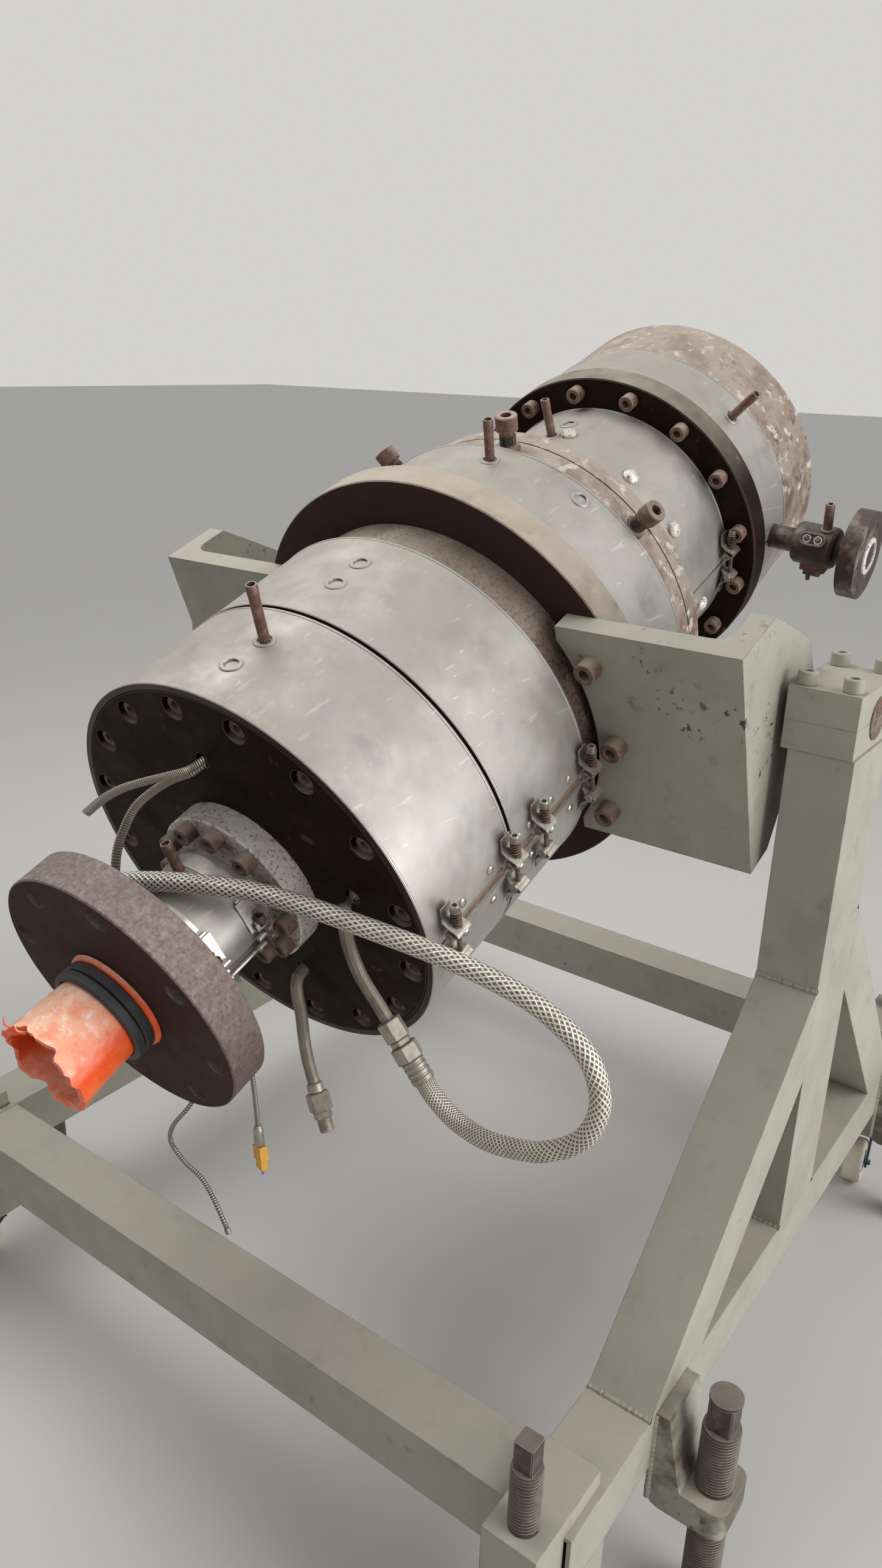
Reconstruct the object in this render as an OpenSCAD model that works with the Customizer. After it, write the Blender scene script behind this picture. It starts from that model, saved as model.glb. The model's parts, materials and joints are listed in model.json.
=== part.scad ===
// Die head of a plastic pipe extrusion line, carried by two trunnions on a steel trolley.
// The die tilts about the trunnions. The trolley stands on its jack screws, with four
// swivel casters just clear of the floor. Millimetres, Z up, outlet towards +Y.

/* [Frame] */
// Side of the square tube that the base and legs are made of
tube = 100; // [94:2:106]
// Wall thickness of the frame tubes
tube_wall = 6; // [4:1:8]
// Distance from the middle plane to the centre of each side beam
side_x = 652; // [648:1:680]
// Height of the underside of the base above the floor
base_z = 260; // [250:1:280]
// Front face of the front cross beam, measured back from the trunnion axis
front_y = -788; // [-820:1:-780]
// Rear face of the rear cross beam, measured from the trunnion axis
rear_y = 682; // [660:1:710]
// Depth of each upright post along the die
post_depth = 160; // [150:1:165]
// Front face of each post, measured from the trunnion axis
post_front = -92; // [-94:1:-88]
// Depth of each front leg, square to its slope
front_leg_depth = 118; // [100:1:120]
// Height where the front leg's upper face leaves the post
front_leg_top = 822; // [800:1:840]
// Height where the back leg's upper face leaves the post
back_leg_top = 911; // [890:1:930]

/* [Bearings] */
// Height of the trunnion axis above the floor
trunnion_z = 1250; // [1240:1:1270]
// Diameter of each trunnion shaft
trunnion_d = 66; // [60:1:70]
// Length of each bearing block along the die
bearing_len = 188; // [184:1:200]
// Width of each bearing block
bearing_w = 108; // [100:1:112]
// Height of the bearing block below the trunnion axis
bearing_low = 45; // [42:1:48]
// Height of the bearing cap above the trunnion axis
bearing_high = 52; // [52:1:60]

/* [Die] */
// Tilt of the die head in degrees, outlet end up
tilt = 21; // [0:1:30]
// Outer radius of heater bands one and two
band_r = 332; // [328:1:336]
// Thickness of every heater band
band_t = 9; // [6:1:10]
// Front of the die body, measured along the die from the trunnions
body_s = -666; // [-680:1:-655]
// Front face of the inlet flange
inlet_s = -937; // [-945:1:-930]
// Radius of the inlet flange
inlet_r = 207; // [203:1:212]
// Diameter of the bore that the melt enters by
inlet_bore = 80; // [70:2:90]
// Front face of the main flange
flange_s = -156; // [-160:1:-150]
// Radius of the main flange
flange_r = 388; // [382:1:392]
// Outer radius of heater band three
band3_r = 348; // [344:1:352]
// Outer radius of heater band four
band4_r = 258; // [250:1:262]
// Front face of the outlet flange
outlet_s = 448; // [443:1:453]
// Radius of the outlet flange
outlet_r = 316; // [312:1:320]
// Outer radius of heater band five
band5_r = 306; // [300:1:309]
// Outlet end of the die head
end_s = 768; // [760:1:775]
// Width of the ring gap that the pipe leaves by
outlet_gap = 25; // [20:1:30]

/* [Jacks and casters] */
// Diameter of the four large jack screws
jack_d = 54; // [50:1:58]
// Distance from the middle plane to each large jack screw
jack_x = 781; // [778:1:790]
// Diameter of the four corner screws
corner_d = 40; // [36:1:44]
// Diameter of the caster wheels
wheel_d = 100; // [94:1:102]
// Height of each caster, floor to the foot of its stub leg
caster_h = 133; // [133:1:140]

/* [Hidden] */
$fn = 96;
eps = 0.01;
// Clearance between round faces that lie on each other
seat = 0.3;
// Small clearance under the wheels while the jack screws carry the trolley
wheel_lift = 3;
base_top = base_z + tube;
beam_in = side_x - tube / 2;
beam_out = side_x + tube / 2;
post_back = post_front + post_depth;
// The bearing blocks stand a little inboard of the posts
bearing_x = side_x - 7;
// Torn orange sleeve over the inlet
plug_len = 140;
plug_r = 67;
plug_wall = 4;
end_r = band5_r - 2;
// Middle of the outline from front to back, so that the origin is under it
y_low = (inlet_s - plug_len) * cos(tilt) - plug_r * sin(tilt);
y_high = end_s * cos(tilt) + end_r * sin(tilt);
y_mid = (y_low + y_high) / 2;

// Stations along the die, from the inlet to the outlet
inlet_t = 62;
neck_r = 80;
neck_heater_r = 89.5;
neck_heater_end = -722;
adapter_r = 131;
adapter_t = 40;
cover_t = 34;
gap_12 = -450;
band_gap = 6;
band2_end = -237;
core_r = 314;
flange_t = 58;
band3_end = 75;
ring_r = 332;
ring_end = 165;
outlet_t = 52;
band5_end = 618;
groove_s = 130;
groove_w = 3;
groove_depth = 5;
edge = 2;
// Radii of what lies under the heater bands
under_band = band_r - band_t - seat;
under_band3 = band3_r - band_t - seat;
under_band4 = band4_r - band_t - seat;
under_band5 = band5_r - band_t - seat;
// The seam of every heater band, in degrees clockwise from the top
seam_turn = 96;
seam_gap = 6;
// Places of the casters and jacks: y from the trunnion axis
caster_front_y = front_y + tube / 2;
caster_rear_y = rear_y - tube / 2;
jack_front_y = -504;
jack_rear_y = 535;
corner_out = 35;

// Puts the children in the floor frame, with the trunnion axis at y = 0
module floor_frame() translate([0, -y_mid, 0]) children();

// Puts the children in the die's frame: Y along the die, origin on the trunnion axis
module die_frame() floor_frame() translate([0, 0, trunnion_z]) rotate([tilt, 0, 0]) children();

// Both sides of the machine
module both_sides() for (s = [0, 1]) mirror([s, 0, 0]) children();

// Cylinder along the die from station a to station b
module along(a, b, r) translate([0, a, 0]) rotate([-90, 0, 0]) cylinder(r = r, h = b - a);

// Ring along the die
module ring(a, b, r, bore) difference() {
  along(a, b, r);
  along(a - 1, b + 1, bore);
}

// Turned piece on the die's axis, from [radius, station] points
module turned(points) rotate([-90, 0, 0]) rotate_extrude() polygon(points);

// Disc from station a to b with both rims chamfered, open to a bore
function disc(a, b, r, bore = 0, c = edge) =
  [[bore, a], [r - c, a], [r, a + c], [r, b - c], [r - c, b], [bore, b]];

// Children at equal steps round the die's axis, phase in degrees from the top
module around(count, phase, r) for (i = [0:count - 1])
  rotate([0, phase + i * 360 / count, 0]) translate([0, 0, r]) children();

// Radial place on the die: angle from the top, station, radius
module radial(turn, s, r) rotate([0, turn, 0]) translate([0, s, r]) children();

// Square tube along Y, hollow, with its low corner at the origin
module tube_y(len, w = tube, h = tube) difference() {
  cube([w, len, h]);
  translate([tube_wall, -1, tube_wall]) cube([w - 2 * tube_wall, len + 2, h - 2 * tube_wall]);
}

module side_beams() color("#a9ada2") floor_frame() both_sides()
  translate([beam_in, front_y, base_z]) tube_y(rear_y - front_y);

module cross_beams() color("#a9ada2") floor_frame()
  for (y = [front_y, rear_y - tube]) translate([-beam_in, y, base_z]) difference() {
    cube([2 * beam_in, tube, tube]);
    translate([-1, tube_wall, tube_wall])
      cube([2 * beam_in + 2, tube - 2 * tube_wall, tube - 2 * tube_wall]);
  }

module posts() color("#a9ada2") floor_frame() both_sides()
  translate([beam_in, post_front, base_top]) difference() {
    cube([tube, post_depth, trunnion_z - bearing_low - base_top]);
    translate([tube_wall, tube_wall, -1])
      cube([tube - 2 * tube_wall, post_depth - 2 * tube_wall, trunnion_z]);
  }

// Leg outline in the YZ plane, as a solid bar of the tube's width
module leg(points) translate([beam_in, 0, 0]) rotate([90, 0, 90]) linear_extrude(tube) polygon(points);

// Slopes of the legs and the vertical depth of their sections
front_leg_run = 479;
front_slope = (front_leg_top - base_top) / front_leg_run;
front_cut = front_leg_depth * sqrt(1 + front_slope * front_slope);
back_leg_run = 452;
back_slope = (back_leg_top - base_top) / back_leg_run;
back_cut = tube * sqrt(1 + back_slope * back_slope);

module legs() color("#a9ada2") floor_frame() both_sides() {
  leg([[post_front, front_leg_top], [post_front - front_leg_run, base_top],
    [post_front - front_leg_run + front_cut / front_slope, base_top],
    [post_front, front_leg_top - front_cut]]);
  leg([[post_back, back_leg_top], [post_back + back_leg_run, base_top],
    [post_back + back_leg_run - back_cut / back_slope, base_top],
    [post_back, back_leg_top - back_cut]]);
}

// Half of a bearing block between two heights, bored for the trunnion
module bearing_half(low, high) difference() {
  translate([bearing_x - bearing_w / 2, -bearing_len / 2, low])
    cube([bearing_w, bearing_len, high - low]);
  translate([side_x - bearing_w, 0, trunnion_z]) rotate([0, 90, 0])
    cylinder(d = trunnion_d + 0.1, h = 2 * bearing_w);
}

module bearing_bases() color("#b4b8ad") floor_frame() both_sides()
  bearing_half(trunnion_z - bearing_low, trunnion_z);

module bearing_caps() color("#b9bbb0") floor_frame() both_sides()
  bearing_half(trunnion_z, trunnion_z + bearing_high);

// Corner block: stands in front of the side beam's end and laps over its top
block_w = 80;
block_lap = 90;
block_rise = 30;
module corner_block() difference() {
  union() {
    translate([side_x - block_w / 2, 0, base_z]) cube([block_w, 2 * corner_out, tube + block_rise]);
    translate([side_x - block_w / 2, -block_lap, base_top]) cube([block_w, block_lap + 1, block_rise]);
  }
  translate([side_x, corner_out, 0]) cylinder(d = corner_d + 0.1, h = 2 * trunnion_z);
}

module corner_blocks() color("#a9ada2") floor_frame() both_sides() {
  translate([0, rear_y, 0]) corner_block();
  translate([0, front_y, 0]) mirror([0, 1, 0]) corner_block();
}

// Screw with a square end, from a foot to a top
square_share = 0.7;
module square_screw(d, foot, top, flat_h) {
  translate([0, 0, foot]) cylinder(d = d, h = top - flat_h - foot);
  translate([0, 0, top - flat_h - eps]) intersection() {
    cylinder(d = d * 0.92, h = flat_h + eps);
    translate([-d * square_share / 2, -d * square_share / 2, 0])
      cube([d * square_share, d * square_share, flat_h + eps]);
  }
}

// The corner screws are wound up clear of the casters
corner_foot = wheel_lift + wheel_d + 15;
corner_top = 532;
corner_flat = 42;
module corner_screws() color("#6f6662") floor_frame() both_sides()
  for (y = [front_y - corner_out, rear_y + corner_out]) translate([side_x, y, 0])
    square_screw(corner_d, corner_foot, corner_top, corner_flat);

// Cast bracket that carries a large jack screw outside the side beam
lug_low = base_z - 70;
lug_top = base_z - 23;
lug_out = 36;
bracket_len = 98;
module jack_bracket() difference() {
  translate([0, bracket_len / 2, 0]) rotate([90, 0, 0]) linear_extrude(bracket_len)
    polygon([[beam_out, base_top], [beam_out + 20, base_top], [beam_out + 42, base_z - 2],
      [beam_out + 46, lug_top + 6], [jack_x - jack_d / 2 - 4, lug_top], [jack_x + lug_out, lug_top],
      [jack_x + lug_out, lug_low], [beam_out + 18, lug_low - 2], [beam_out + 6, lug_low + 2],
      [beam_out, lug_low + 12]]);
  translate([jack_x, 0, 0]) cylinder(d = jack_d + 0.1, h = trunnion_z);
  for (side = [0, 1]) mirror([0, side, 0])
    translate([jack_x + lug_out - 20, bracket_len / 2 - 20, 0]) difference() {
      cube([21, 21, trunnion_z]);
      cylinder(r = 20, h = trunnion_z);
    }
}

module jack_brackets() color("#8d8a7c") floor_frame() both_sides()
  for (y = [jack_front_y, jack_rear_y]) translate([0, y, 0]) jack_bracket();

// Large jack screw: thread, milled square, round disc on top
jack_top = base_top + 45;
jack_flat = 50;
jack_disc = 6;
module jack_screws() color("#6a605a") floor_frame() both_sides()
  for (y = [jack_front_y, jack_rear_y]) translate([jack_x, y, 0]) {
    square_screw(jack_d, 0, jack_top - jack_disc, jack_flat);
    translate([0, 0, jack_top - jack_disc - eps]) cylinder(d = jack_d - 6, h = jack_disc);
  }

// Stub legs under the frame's corners, each closed by the plate that carries a caster
caster_plate_t = 6;
module caster_legs() color("#8f9288") floor_frame() both_sides()
  for (y = [caster_front_y, caster_rear_y]) translate([side_x - tube / 2, y - tube / 2, caster_h - caster_plate_t]) {
    cube([tube, tube, caster_plate_t]);
    translate([0, 0, caster_plate_t - eps]) difference() {
      cube([tube, tube, base_z - caster_h + eps]);
      translate([tube_wall, tube_wall, -1]) cube([tube - 2 * tube_wall, tube - 2 * tube_wall, base_z]);
    }
  }

module inlet_sleeve() color("#e8703a") die_frame() turned([[plug_r - plug_wall, inlet_s - plug_len],
  [plug_r - 1, inlet_s - plug_len], [plug_r, inlet_s - plug_len / 2], [plug_r + 1, inlet_s - edge],
  [plug_r + 1, inlet_s], [plug_r - plug_wall, inlet_s]]);

sleeve_ring_r = 77;
module sleeve_rings() color("#2b2a29") die_frame() for (s = [inlet_s - 40, inlet_s - 24])
  turned([[plug_r + 1 + seat, s], [sleeve_ring_r - edge, s], [sleeve_ring_r, s + edge],
    [sleeve_ring_r, s + 13], [sleeve_ring_r - edge, s + 15], [plug_r + 1 + seat, s + 15]]);

inlet_pcd = 355;
inlet_hole = 34;
inlet_phase = 16.5;
module inlet_flange() color("#7a5a55") die_frame() difference() {
  turned(disc(inlet_s, inlet_s + inlet_t, inlet_r, inlet_bore / 2));
  around(8, inlet_phase, inlet_pcd / 2) along(inlet_s - 1, inlet_s + inlet_t + 1, inlet_hole / 2);
}

// Neck and the flange at its rear end, turned from one piece
module inlet_adapter() color("#6d5a50") die_frame() turned([[inlet_bore / 2, inlet_s + inlet_t],
  [neck_r, inlet_s + inlet_t], [neck_r, body_s - adapter_t], [adapter_r - edge, body_s - adapter_t],
  [adapter_r, body_s - adapter_t + edge], [adapter_r, body_s], [inlet_bore / 2, body_s]]);

// Clamp plate of the neck's heater, bent from sheet, over the seam of its sheet
plate_turn = 77;
plate_s = -764;
plate_len = 34;
plate_w = 54;
plate_h = 16;
module neck_heater() color("#b9bab6") die_frame() {
  ring(inlet_s + inlet_t + 16, neck_heater_end, neck_heater_r, neck_r + seat);
  difference() {
    rotate([0, plate_turn, 0]) translate([-plate_w / 2, plate_s, 0])
      cube([plate_w, plate_len, neck_heater_r + plate_h]);
    along(plate_s - 1, plate_s + plate_len + 1, neck_heater_r + seat);
  }
}

// Ports in the cover: turn and pitch radius, diameter and depth
cover_holes = [[-1.8, 210], [81.3, 214]];
port_d = 26;
port_depth = 25;
module front_cover() color("#4a3833") die_frame() difference() {
  turned(disc(body_s, body_s + cover_t, under_band, inlet_bore / 2));
  around(16, 16.8, 295) {
    along(body_s - 1, body_s + 22, 19);
  }
  for (hole = cover_holes) rotate([0, hole[0], 0]) translate([0, 0, hole[1]])
    along(body_s - 1, body_s + port_depth, port_d / 2);
  translate([drain_route[0][0], 0, drain_route[0][2]]) along(body_s - 1, body_s + port_depth, port_d / 2);
}

module die_body() color("#7b6a5f") die_frame() turned([[0, body_s + cover_t],
  [under_band, body_s + cover_t], [under_band, band2_end], [core_r, band2_end], [core_r, flange_s],
  [0, flange_s]]);

// Heater band from station a to b: a split sleeve with radial holes at [turn, station]
module heater_band(a, b, r, holes) difference() {
  ring(a, b, r, r - band_t);
  rotate([0, seam_turn, 0]) translate([-seam_gap / 2, a - 1, 0]) cube([seam_gap, b - a + 2, r + 1]);
  for (hole = holes) radial(hole[0], hole[1], r / 2) cylinder(d = sensor_d + 3, h = r);
}

sensor_d = 17;
module heater_band_1() color("#b7b5b0") die_frame()
  heater_band(body_s, gap_12 - band_gap, band_r, [[5.3, -592], [6, -528]]);

module heater_band_2() color("#b2b0aa") die_frame()
  heater_band(gap_12, band2_end, band_r, [[5.6, -367], [5.3, -306]]);

// Channel strips over the seams of bands one and two
strip_w = 26;
strip_t = 7;
module seam_strips() color("#6e4a3a") die_frame() for (span = [[-612, -484], [-460, -403], [-379, -263]])
  difference() {
    rotate([0, seam_turn, 0]) translate([-strip_w / 2, span[0], 0])
      cube([strip_w, span[1] - span[0], band_r + strip_t]);
    along(span[0] - 1, span[1] + 1, band_r + seat);
    rotate([0, seam_turn, 0]) translate([-strip_w / 4, span[0] - 1, band_r + strip_t / 2])
      cube([strip_w / 2, span[1] - span[0] + 2, strip_t]);
  }

// Spring clamp across a seam: two strap ears, a socket screw and a barrel nut
ear_w = 28;
ear_t = 4;
ear_h = 28;
ear_x = 26;
strap_t = 3;
strap_turn = 11;
shank_d = 10;
head_d = 18;
head_h = 12;
shank_z = 16;
shank_start = -60;
barrel_d = 16;
clamps = [[-623, band_r], [-472, band_r], [-391, band_r], [-251, band_r], [outlet_s - 6 - ear_w / 2, band4_r]];

// Ear and the strap that runs from it along the band
module clamp_ear(r) difference() {
  union() {
    translate([ear_x - ear_t / 2, -ear_w / 2, r - 10]) cube([ear_t, ear_w, ear_h + 10]);
    intersection() {
      along(-ear_w / 2, ear_w / 2, r + seat + strap_t);
      translate([0, ear_w, 0]) rotate([90, 0, 0]) linear_extrude(2 * ear_w)
        polygon([[0, 0], [ear_x / r * 2 * r, 2 * r], [tan(strap_turn + ear_x / r * 57.3) * 2 * r, 2 * r]]);
    }
  }
  along(-ear_w, ear_w, r + seat);
  translate([0, 0, r + shank_z]) rotate([0, 90, 0]) cylinder(d = shank_d + 1, h = 2 * ear_x);
}

module at_clamps() for (c = clamps) translate([0, c[0], 0]) rotate([0, seam_turn, 0]) {
  $clamp_r = c[1];
  children();
}

module seam_clamps() color("#a7a49c") die_frame() at_clamps() {
  clamp_ear($clamp_r);
  mirror([1, 0, 0]) clamp_ear($clamp_r);
  translate([0, 0, $clamp_r + shank_z]) {
    translate([shank_start, 0, 0]) rotate([0, 90, 0])
      cylinder(d = shank_d, h = ear_x + ear_t / 2 + barrel_d / 2 - shank_start);
    translate([shank_start - head_h, 0, 0]) rotate([0, 90, 0]) difference() {
      cylinder(d = head_d, h = head_h);
      translate([0, 0, -eps]) cylinder(d = head_d * 0.5, h = head_h / 2);
    }
    translate([ear_x + ear_t / 2 + barrel_d / 2 + eps, -ear_w / 2, 0]) rotate([-90, 0, 0])
      cylinder(d = barrel_d, h = ear_w);
  }
}

// Points of a coil spring along X between two faces
wire_d = 2.6;
spring_turns = 5;
spring_steps = 12;
spring_r = shank_d / 2 + wire_d / 2 + seat;
function coil(x0, x1, r) = [for (i = [0:spring_turns * spring_steps])
  let (share = i / (spring_turns * spring_steps), a = 360 * spring_turns * share)
  [x0 + (x1 - x0) * share, r * cos(a), r * sin(a)]];

module clamp_springs() color("#8c8a84") die_frame() at_clamps()
  translate([0, 0, $clamp_r + shank_z])
    sweep(coil(shank_start + wire_d / 2 + seat, -ear_x - ear_t / 2 - wire_d / 2 - seat, spring_r),
      wire_d, wire_d, 6, [1, 0, 0]);

module main_flange() color("#6b5147") die_frame() turned(disc(flange_s, flange_s + flange_t, flange_r));

// Trunnion bracket: front plate on the main flange and a side plate out to the shaft
plate_t = 38;
bracket_x1 = 578;
bracket_low = -197;
bracket_high = 200;
bracket_clear = 17;
bracket_fillet = 26;
bracket_front = flange_s - plate_t;
bracket_in = bracket_x1 - plate_t;
// The front plate is cut back to this distance from the middle plane
bracket_x0 = 281;
module trunnion_bracket() {
  difference() {
    translate([0, bracket_front, bracket_low]) cube([bracket_x1, plate_t, bracket_high - bracket_low]);
    along(bracket_front - 1, flange_s + 1, core_r + bracket_clear);
    translate([-1, bracket_front - 1, bracket_low - 1])
      cube([bracket_x0 + 1, plate_t + 2, bracket_high - bracket_low + 2]);
  }
  translate([bracket_in, 0, 0]) rotate([90, 0, 90]) linear_extrude(plate_t)
    polygon([[bracket_front, bracket_low], [flange_s + bracket_fillet, bracket_low], [62, -45], [62, 22], [54, 84],
      [-77, bracket_high], [bracket_front, bracket_high]]);
  translate([bracket_in, flange_s, bracket_low]) linear_extrude(bracket_high - bracket_low)
    polygon(concat([[plate_t / 2, bracket_fillet], [plate_t / 2, -plate_t / 2], [-bracket_fillet, -plate_t / 2]],
      [for (a = [0:15:90]) bracket_fillet * [sin(a) - 1, 1 - cos(a)]]));
}

module trunnion_brackets() color("#a3a698") die_frame() both_sides() trunnion_bracket();

collar_t = 8;
module trunnion_shafts() color("#7d766e") die_frame() both_sides() translate([bracket_x1, 0, 0]) rotate([0, 90, 0]) {
  cylinder(d = trunnion_d, h = bearing_x + bearing_w / 2 + 2 - bracket_x1);
  cylinder(d = trunnion_d + 24, h = collar_t);
}

module heater_band_3() color("#b5b2ac") die_frame()
  heater_band(flange_s + flange_t, band3_end, band3_r, [[7.9, 29], [35.6, 43]]);

module centering_ring() color("#7c6a5a") die_frame() turned([[0, flange_s + flange_t],
  [under_band3, flange_s + flange_t], [under_band3, band3_end], [ring_r, band3_end],
  [ring_r, groove_s], [ring_r - groove_depth, groove_s], [ring_r - groove_depth, groove_s + groove_w],
  [ring_r, groove_s + groove_w], [ring_r, ring_end], [0, ring_end]]);

// Centring screws: a boss on the ring, the shank and the head
centering_s = 102;
centering_d = 38;
module centering_screws() color("#6a564b") die_frame() difference() {
  around(8, 6, 0) translate([0, centering_s, 0]) {
    cylinder(d = centering_d - 10, h = ring_r + 40);
    translate([0, 0, ring_r + 34]) cylinder(d = centering_d, h = 26);
    cylinder(d = centering_d + 4, h = ring_r + 8);
  }
  along(band3_end - 1, ring_end + 1, ring_r + seat);
}

module outlet_neck() color("#77665b") die_frame() turned([[0, ring_end], [under_band4, ring_end],
  [under_band4, outlet_s], [0, outlet_s]]);

module heater_band_4() color("#b5b3ae") die_frame()
  heater_band(ring_end, outlet_s, band4_r, [[-3.9, 316], [-2.7, 371]]);

module outlet_flange() color("#4d3b34") die_frame() turned(disc(outlet_s, outlet_s + outlet_t, outlet_r));

module heater_band_5() color("#b5b3ae") die_frame() difference() {
  heater_band(outlet_s + outlet_t, band5_end, band5_r, [[47.7, 562]]);
  radial(seam_turn, side_s, band5_r / 2) cylinder(d = side_neck_d + 1, h = band5_r);
}

// The barrel under band five and the end ring, in one turned piece
outlet_bore_r = end_r - 54;
module outlet_ring() color("#836a5a") die_frame() turned([[outlet_bore_r, outlet_s + outlet_t],
  [under_band5, outlet_s + outlet_t], [under_band5, band5_end], [end_r, band5_end],
  [end_r, end_s - edge], [end_r - edge, end_s], [outlet_bore_r, end_s]]);

mandrel_r = outlet_bore_r - outlet_gap;
module mandrel() color("#6f665e") die_frame() turned([[0, outlet_s + outlet_t],
  [mandrel_r, outlet_s + outlet_t], [mandrel_r, end_s - edge], [mandrel_r - edge, end_s], [0, end_s]]);

// Side inlet: neck through the heater band, hexagon, waist and connecting flange
side_s = 560;
side_neck_d = 46;
side_body_d = 80;
side_flange_d = 168;
module side_adapter() color("#75564a") die_frame() rotate([0, seam_turn, 0]) translate([0, side_s, 0])
  rotate_extrude() polygon([[0, under_band5 + seat], [side_neck_d / 2, under_band5 + seat],
    [side_neck_d / 2, band5_r + 50], [side_body_d / 2 - 4, band5_r + 50], [side_body_d / 2, band5_r + 56],
    [side_body_d / 2, band5_r + 124], [side_body_d / 2 - 4, band5_r + 130],
    [side_neck_d / 2 + 2, band5_r + 130], [side_neck_d / 2 + 2, band5_r + 156],
    [side_flange_d / 2, band5_r + 156], [side_flange_d / 2, band5_r + 190], [0, band5_r + 190]]);

// Sensor tubes: turn, station, radius of the seat and outer radius
sensor_places = [[6, -528, under_band, band_r + 90], [7.9, 29, under_band3, band3_r + 70],
  [-3.9, 316, under_band4, band4_r + 70], [47.7, 562, under_band5, band5_r + 70]];
sensor_nut_d = 26;
module thermocouples() color("#5d4a42") die_frame() {
  for (t = sensor_places) radial(t[0], t[1], 0) difference() {
    union() {
      cylinder(d = sensor_d, h = t[3]);
      translate([0, 0, t[3] - 34]) cylinder(d = sensor_nut_d, h = 14);
    }
    translate([0, 0, -1]) cylinder(r = 2 * sensor_d, h = t[2] + seat + 1);
    translate([0, 0, t[3] - 12]) cylinder(d = sensor_d - 6, h = 13);
  }
  radial(-5, -768, neck_heater_r + seat) difference() {
    cylinder(d = sensor_d, h = 50);
    translate([0, 0, 38]) cylinder(d = sensor_d - 6, h = 13);
  }
}

// Unit vector, and the mean direction of a route at point i
function unit(v) = v / norm(v);
function heading(p, i) = unit(p[min(i + 1, len(p) - 1)] - p[max(i - 1, 0)]);
// Smooth route through hand-set points, a few steps between each pair
function blend4(a, b, c, d, t) = 0.5 * ((2 * b) + (c - a) * t + (2 * a - 5 * b + 4 * c - d) * t * t
  + (3 * b - a - 3 * c + d) * t * t * t);
function smooth(p, steps) = concat([for (i = [0:len(p) - 2], k = [0:steps - 1])
  blend4(p[max(i - 1, 0)], p[i], p[i + 1], p[min(i + 2, len(p) - 1)], k / steps)], [p[len(p) - 1]]);

// Tube of w by h section swept along a route; side is a direction that the route never takes
module sweep(p, w, h, sides, side) {
  count = len(p);
  points = [for (i = [0:count - 1]) let (t = heading(p, i), u = unit(cross(t, side)), v = cross(t, u))
    for (k = [0:sides - 1]) let (a = 360 * (k + 0.5) / sides) p[i] + u * cos(a) * w / 2 + v * sin(a) * h / 2];
  walls = [for (i = [0:count - 2], k = [0:sides - 1]) let (a = i * sides + k, b = i * sides + (k + 1) % sides)
    [a, b, b + sides, a + sides]];
  polyhedron(points, concat([[for (k = [sides - 1:-1:0]) k]], walls,
    [[for (k = [0:sides - 1]) (count - 1) * sides + k]]));
}

// Routes in the die's frame, chosen by hand: x, station, height
drain_route = [[42, body_s + port_depth - seat, -192], [42, -682, -194], [48, -700, -216], [56, -712, -246], [60, -726, -284],
  [72, -743, -316], [88, -758, -344]];
feed_route = [[212, body_s + port_depth - seat, 32], [212, -684, 30], [215, -698, 4], [220, -706, -30], [236, -716, -66],
  [261.9, -724.5, -98], [280.5, -731, -120.6]];
hose_route = [[-132, -846, -104], [-138, -846, -50], [-130, -845, 10], [-104, -842, 68], [-54, -832, 103],
  [0, -812, 110], [60, -786, 104], [125, -757, 90], [200, -735, 72], [285, -718, 52], [370, -703, 32],
  [455, -694, 12], [530, -692, -14], [590, -702, -56], [614, -724, -110], [596, -748, -164],
  [545, -764, -206], [497, -768, -228], [450, -768, -242.5], [412, -765, -244], [381, -761.5, -234],
  [353.9, -756.8, -210], [340.3, -752, -193.4]];
cable_1_route = [[-30, -800, -85], [-34, -806, -150], [-52, -822, -230], [-72, -842, -308],
  [-98, -870, -376], [-138, -898, -428], [-152, -910, -468], [-124, -918, -496], [-84, -922, -514],
  [-54, -934, -544], [-26, -950, -580]];
cable_2_route = [[26, -790, -86], [28, -794, -150], [36, -810, -220], [46, -834, -290], [54, -860, -352]];
lead_1_route = [[-7, body_s + port_depth - seat, 210], [-9, -684, 210], [-34, -706, 206], [-68, -722, 198], [-108, -740, 186],
  [-146, -754, 166], [-190, -766, 134]];
lead_2_route = [[-8, body_s + port_depth - seat, 203], [-14, -684, 201], [-54, -698, 184], [-82, -716, 168], [-104, -736, 150],
  [-122, -756, 120], [-146, -772, 76], [-160, -790, 20], [-166, -806, -40]];
pipe_d = 20;
hose_d = 28;
cable_d = 8;
lead_w = 14;
lead_t = 6;

module cover_pipes() color("#7a6c60") die_frame() {
  sweep(smooth(drain_route, 2), pipe_d, pipe_d, 10, [1, 0, 0]);
  sweep(smooth(feed_route, 2), pipe_d, pipe_d, 10, [0, 1, 0.2]);
}

module braided_hose() color("#8d877a") die_frame() sweep(smooth(hose_route, 1), hose_d, hose_d, 12, [0, 1, 0.35]);
module armoured_cable_1() color("#8b8880") die_frame()
  sweep(smooth(cable_1_route, 2), cable_d, cable_d, 8, [0, 1, -0.6]);
module armoured_cable_2() color("#8b8880") die_frame()
  sweep(smooth(cable_2_route, 2), cable_d, cable_d, 8, [0, 1, -0.6]);
module flat_lead_1() color("#8f8c86") die_frame() sweep(smooth(lead_1_route, 1), lead_w, lead_t, 8, [0, 0.5, 1]);
module flat_lead_2() color("#8f8c86") die_frame() sweep(smooth(lead_2_route, 1), lead_w, lead_t, 8, [0.6, 0.5, 1]);

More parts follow.
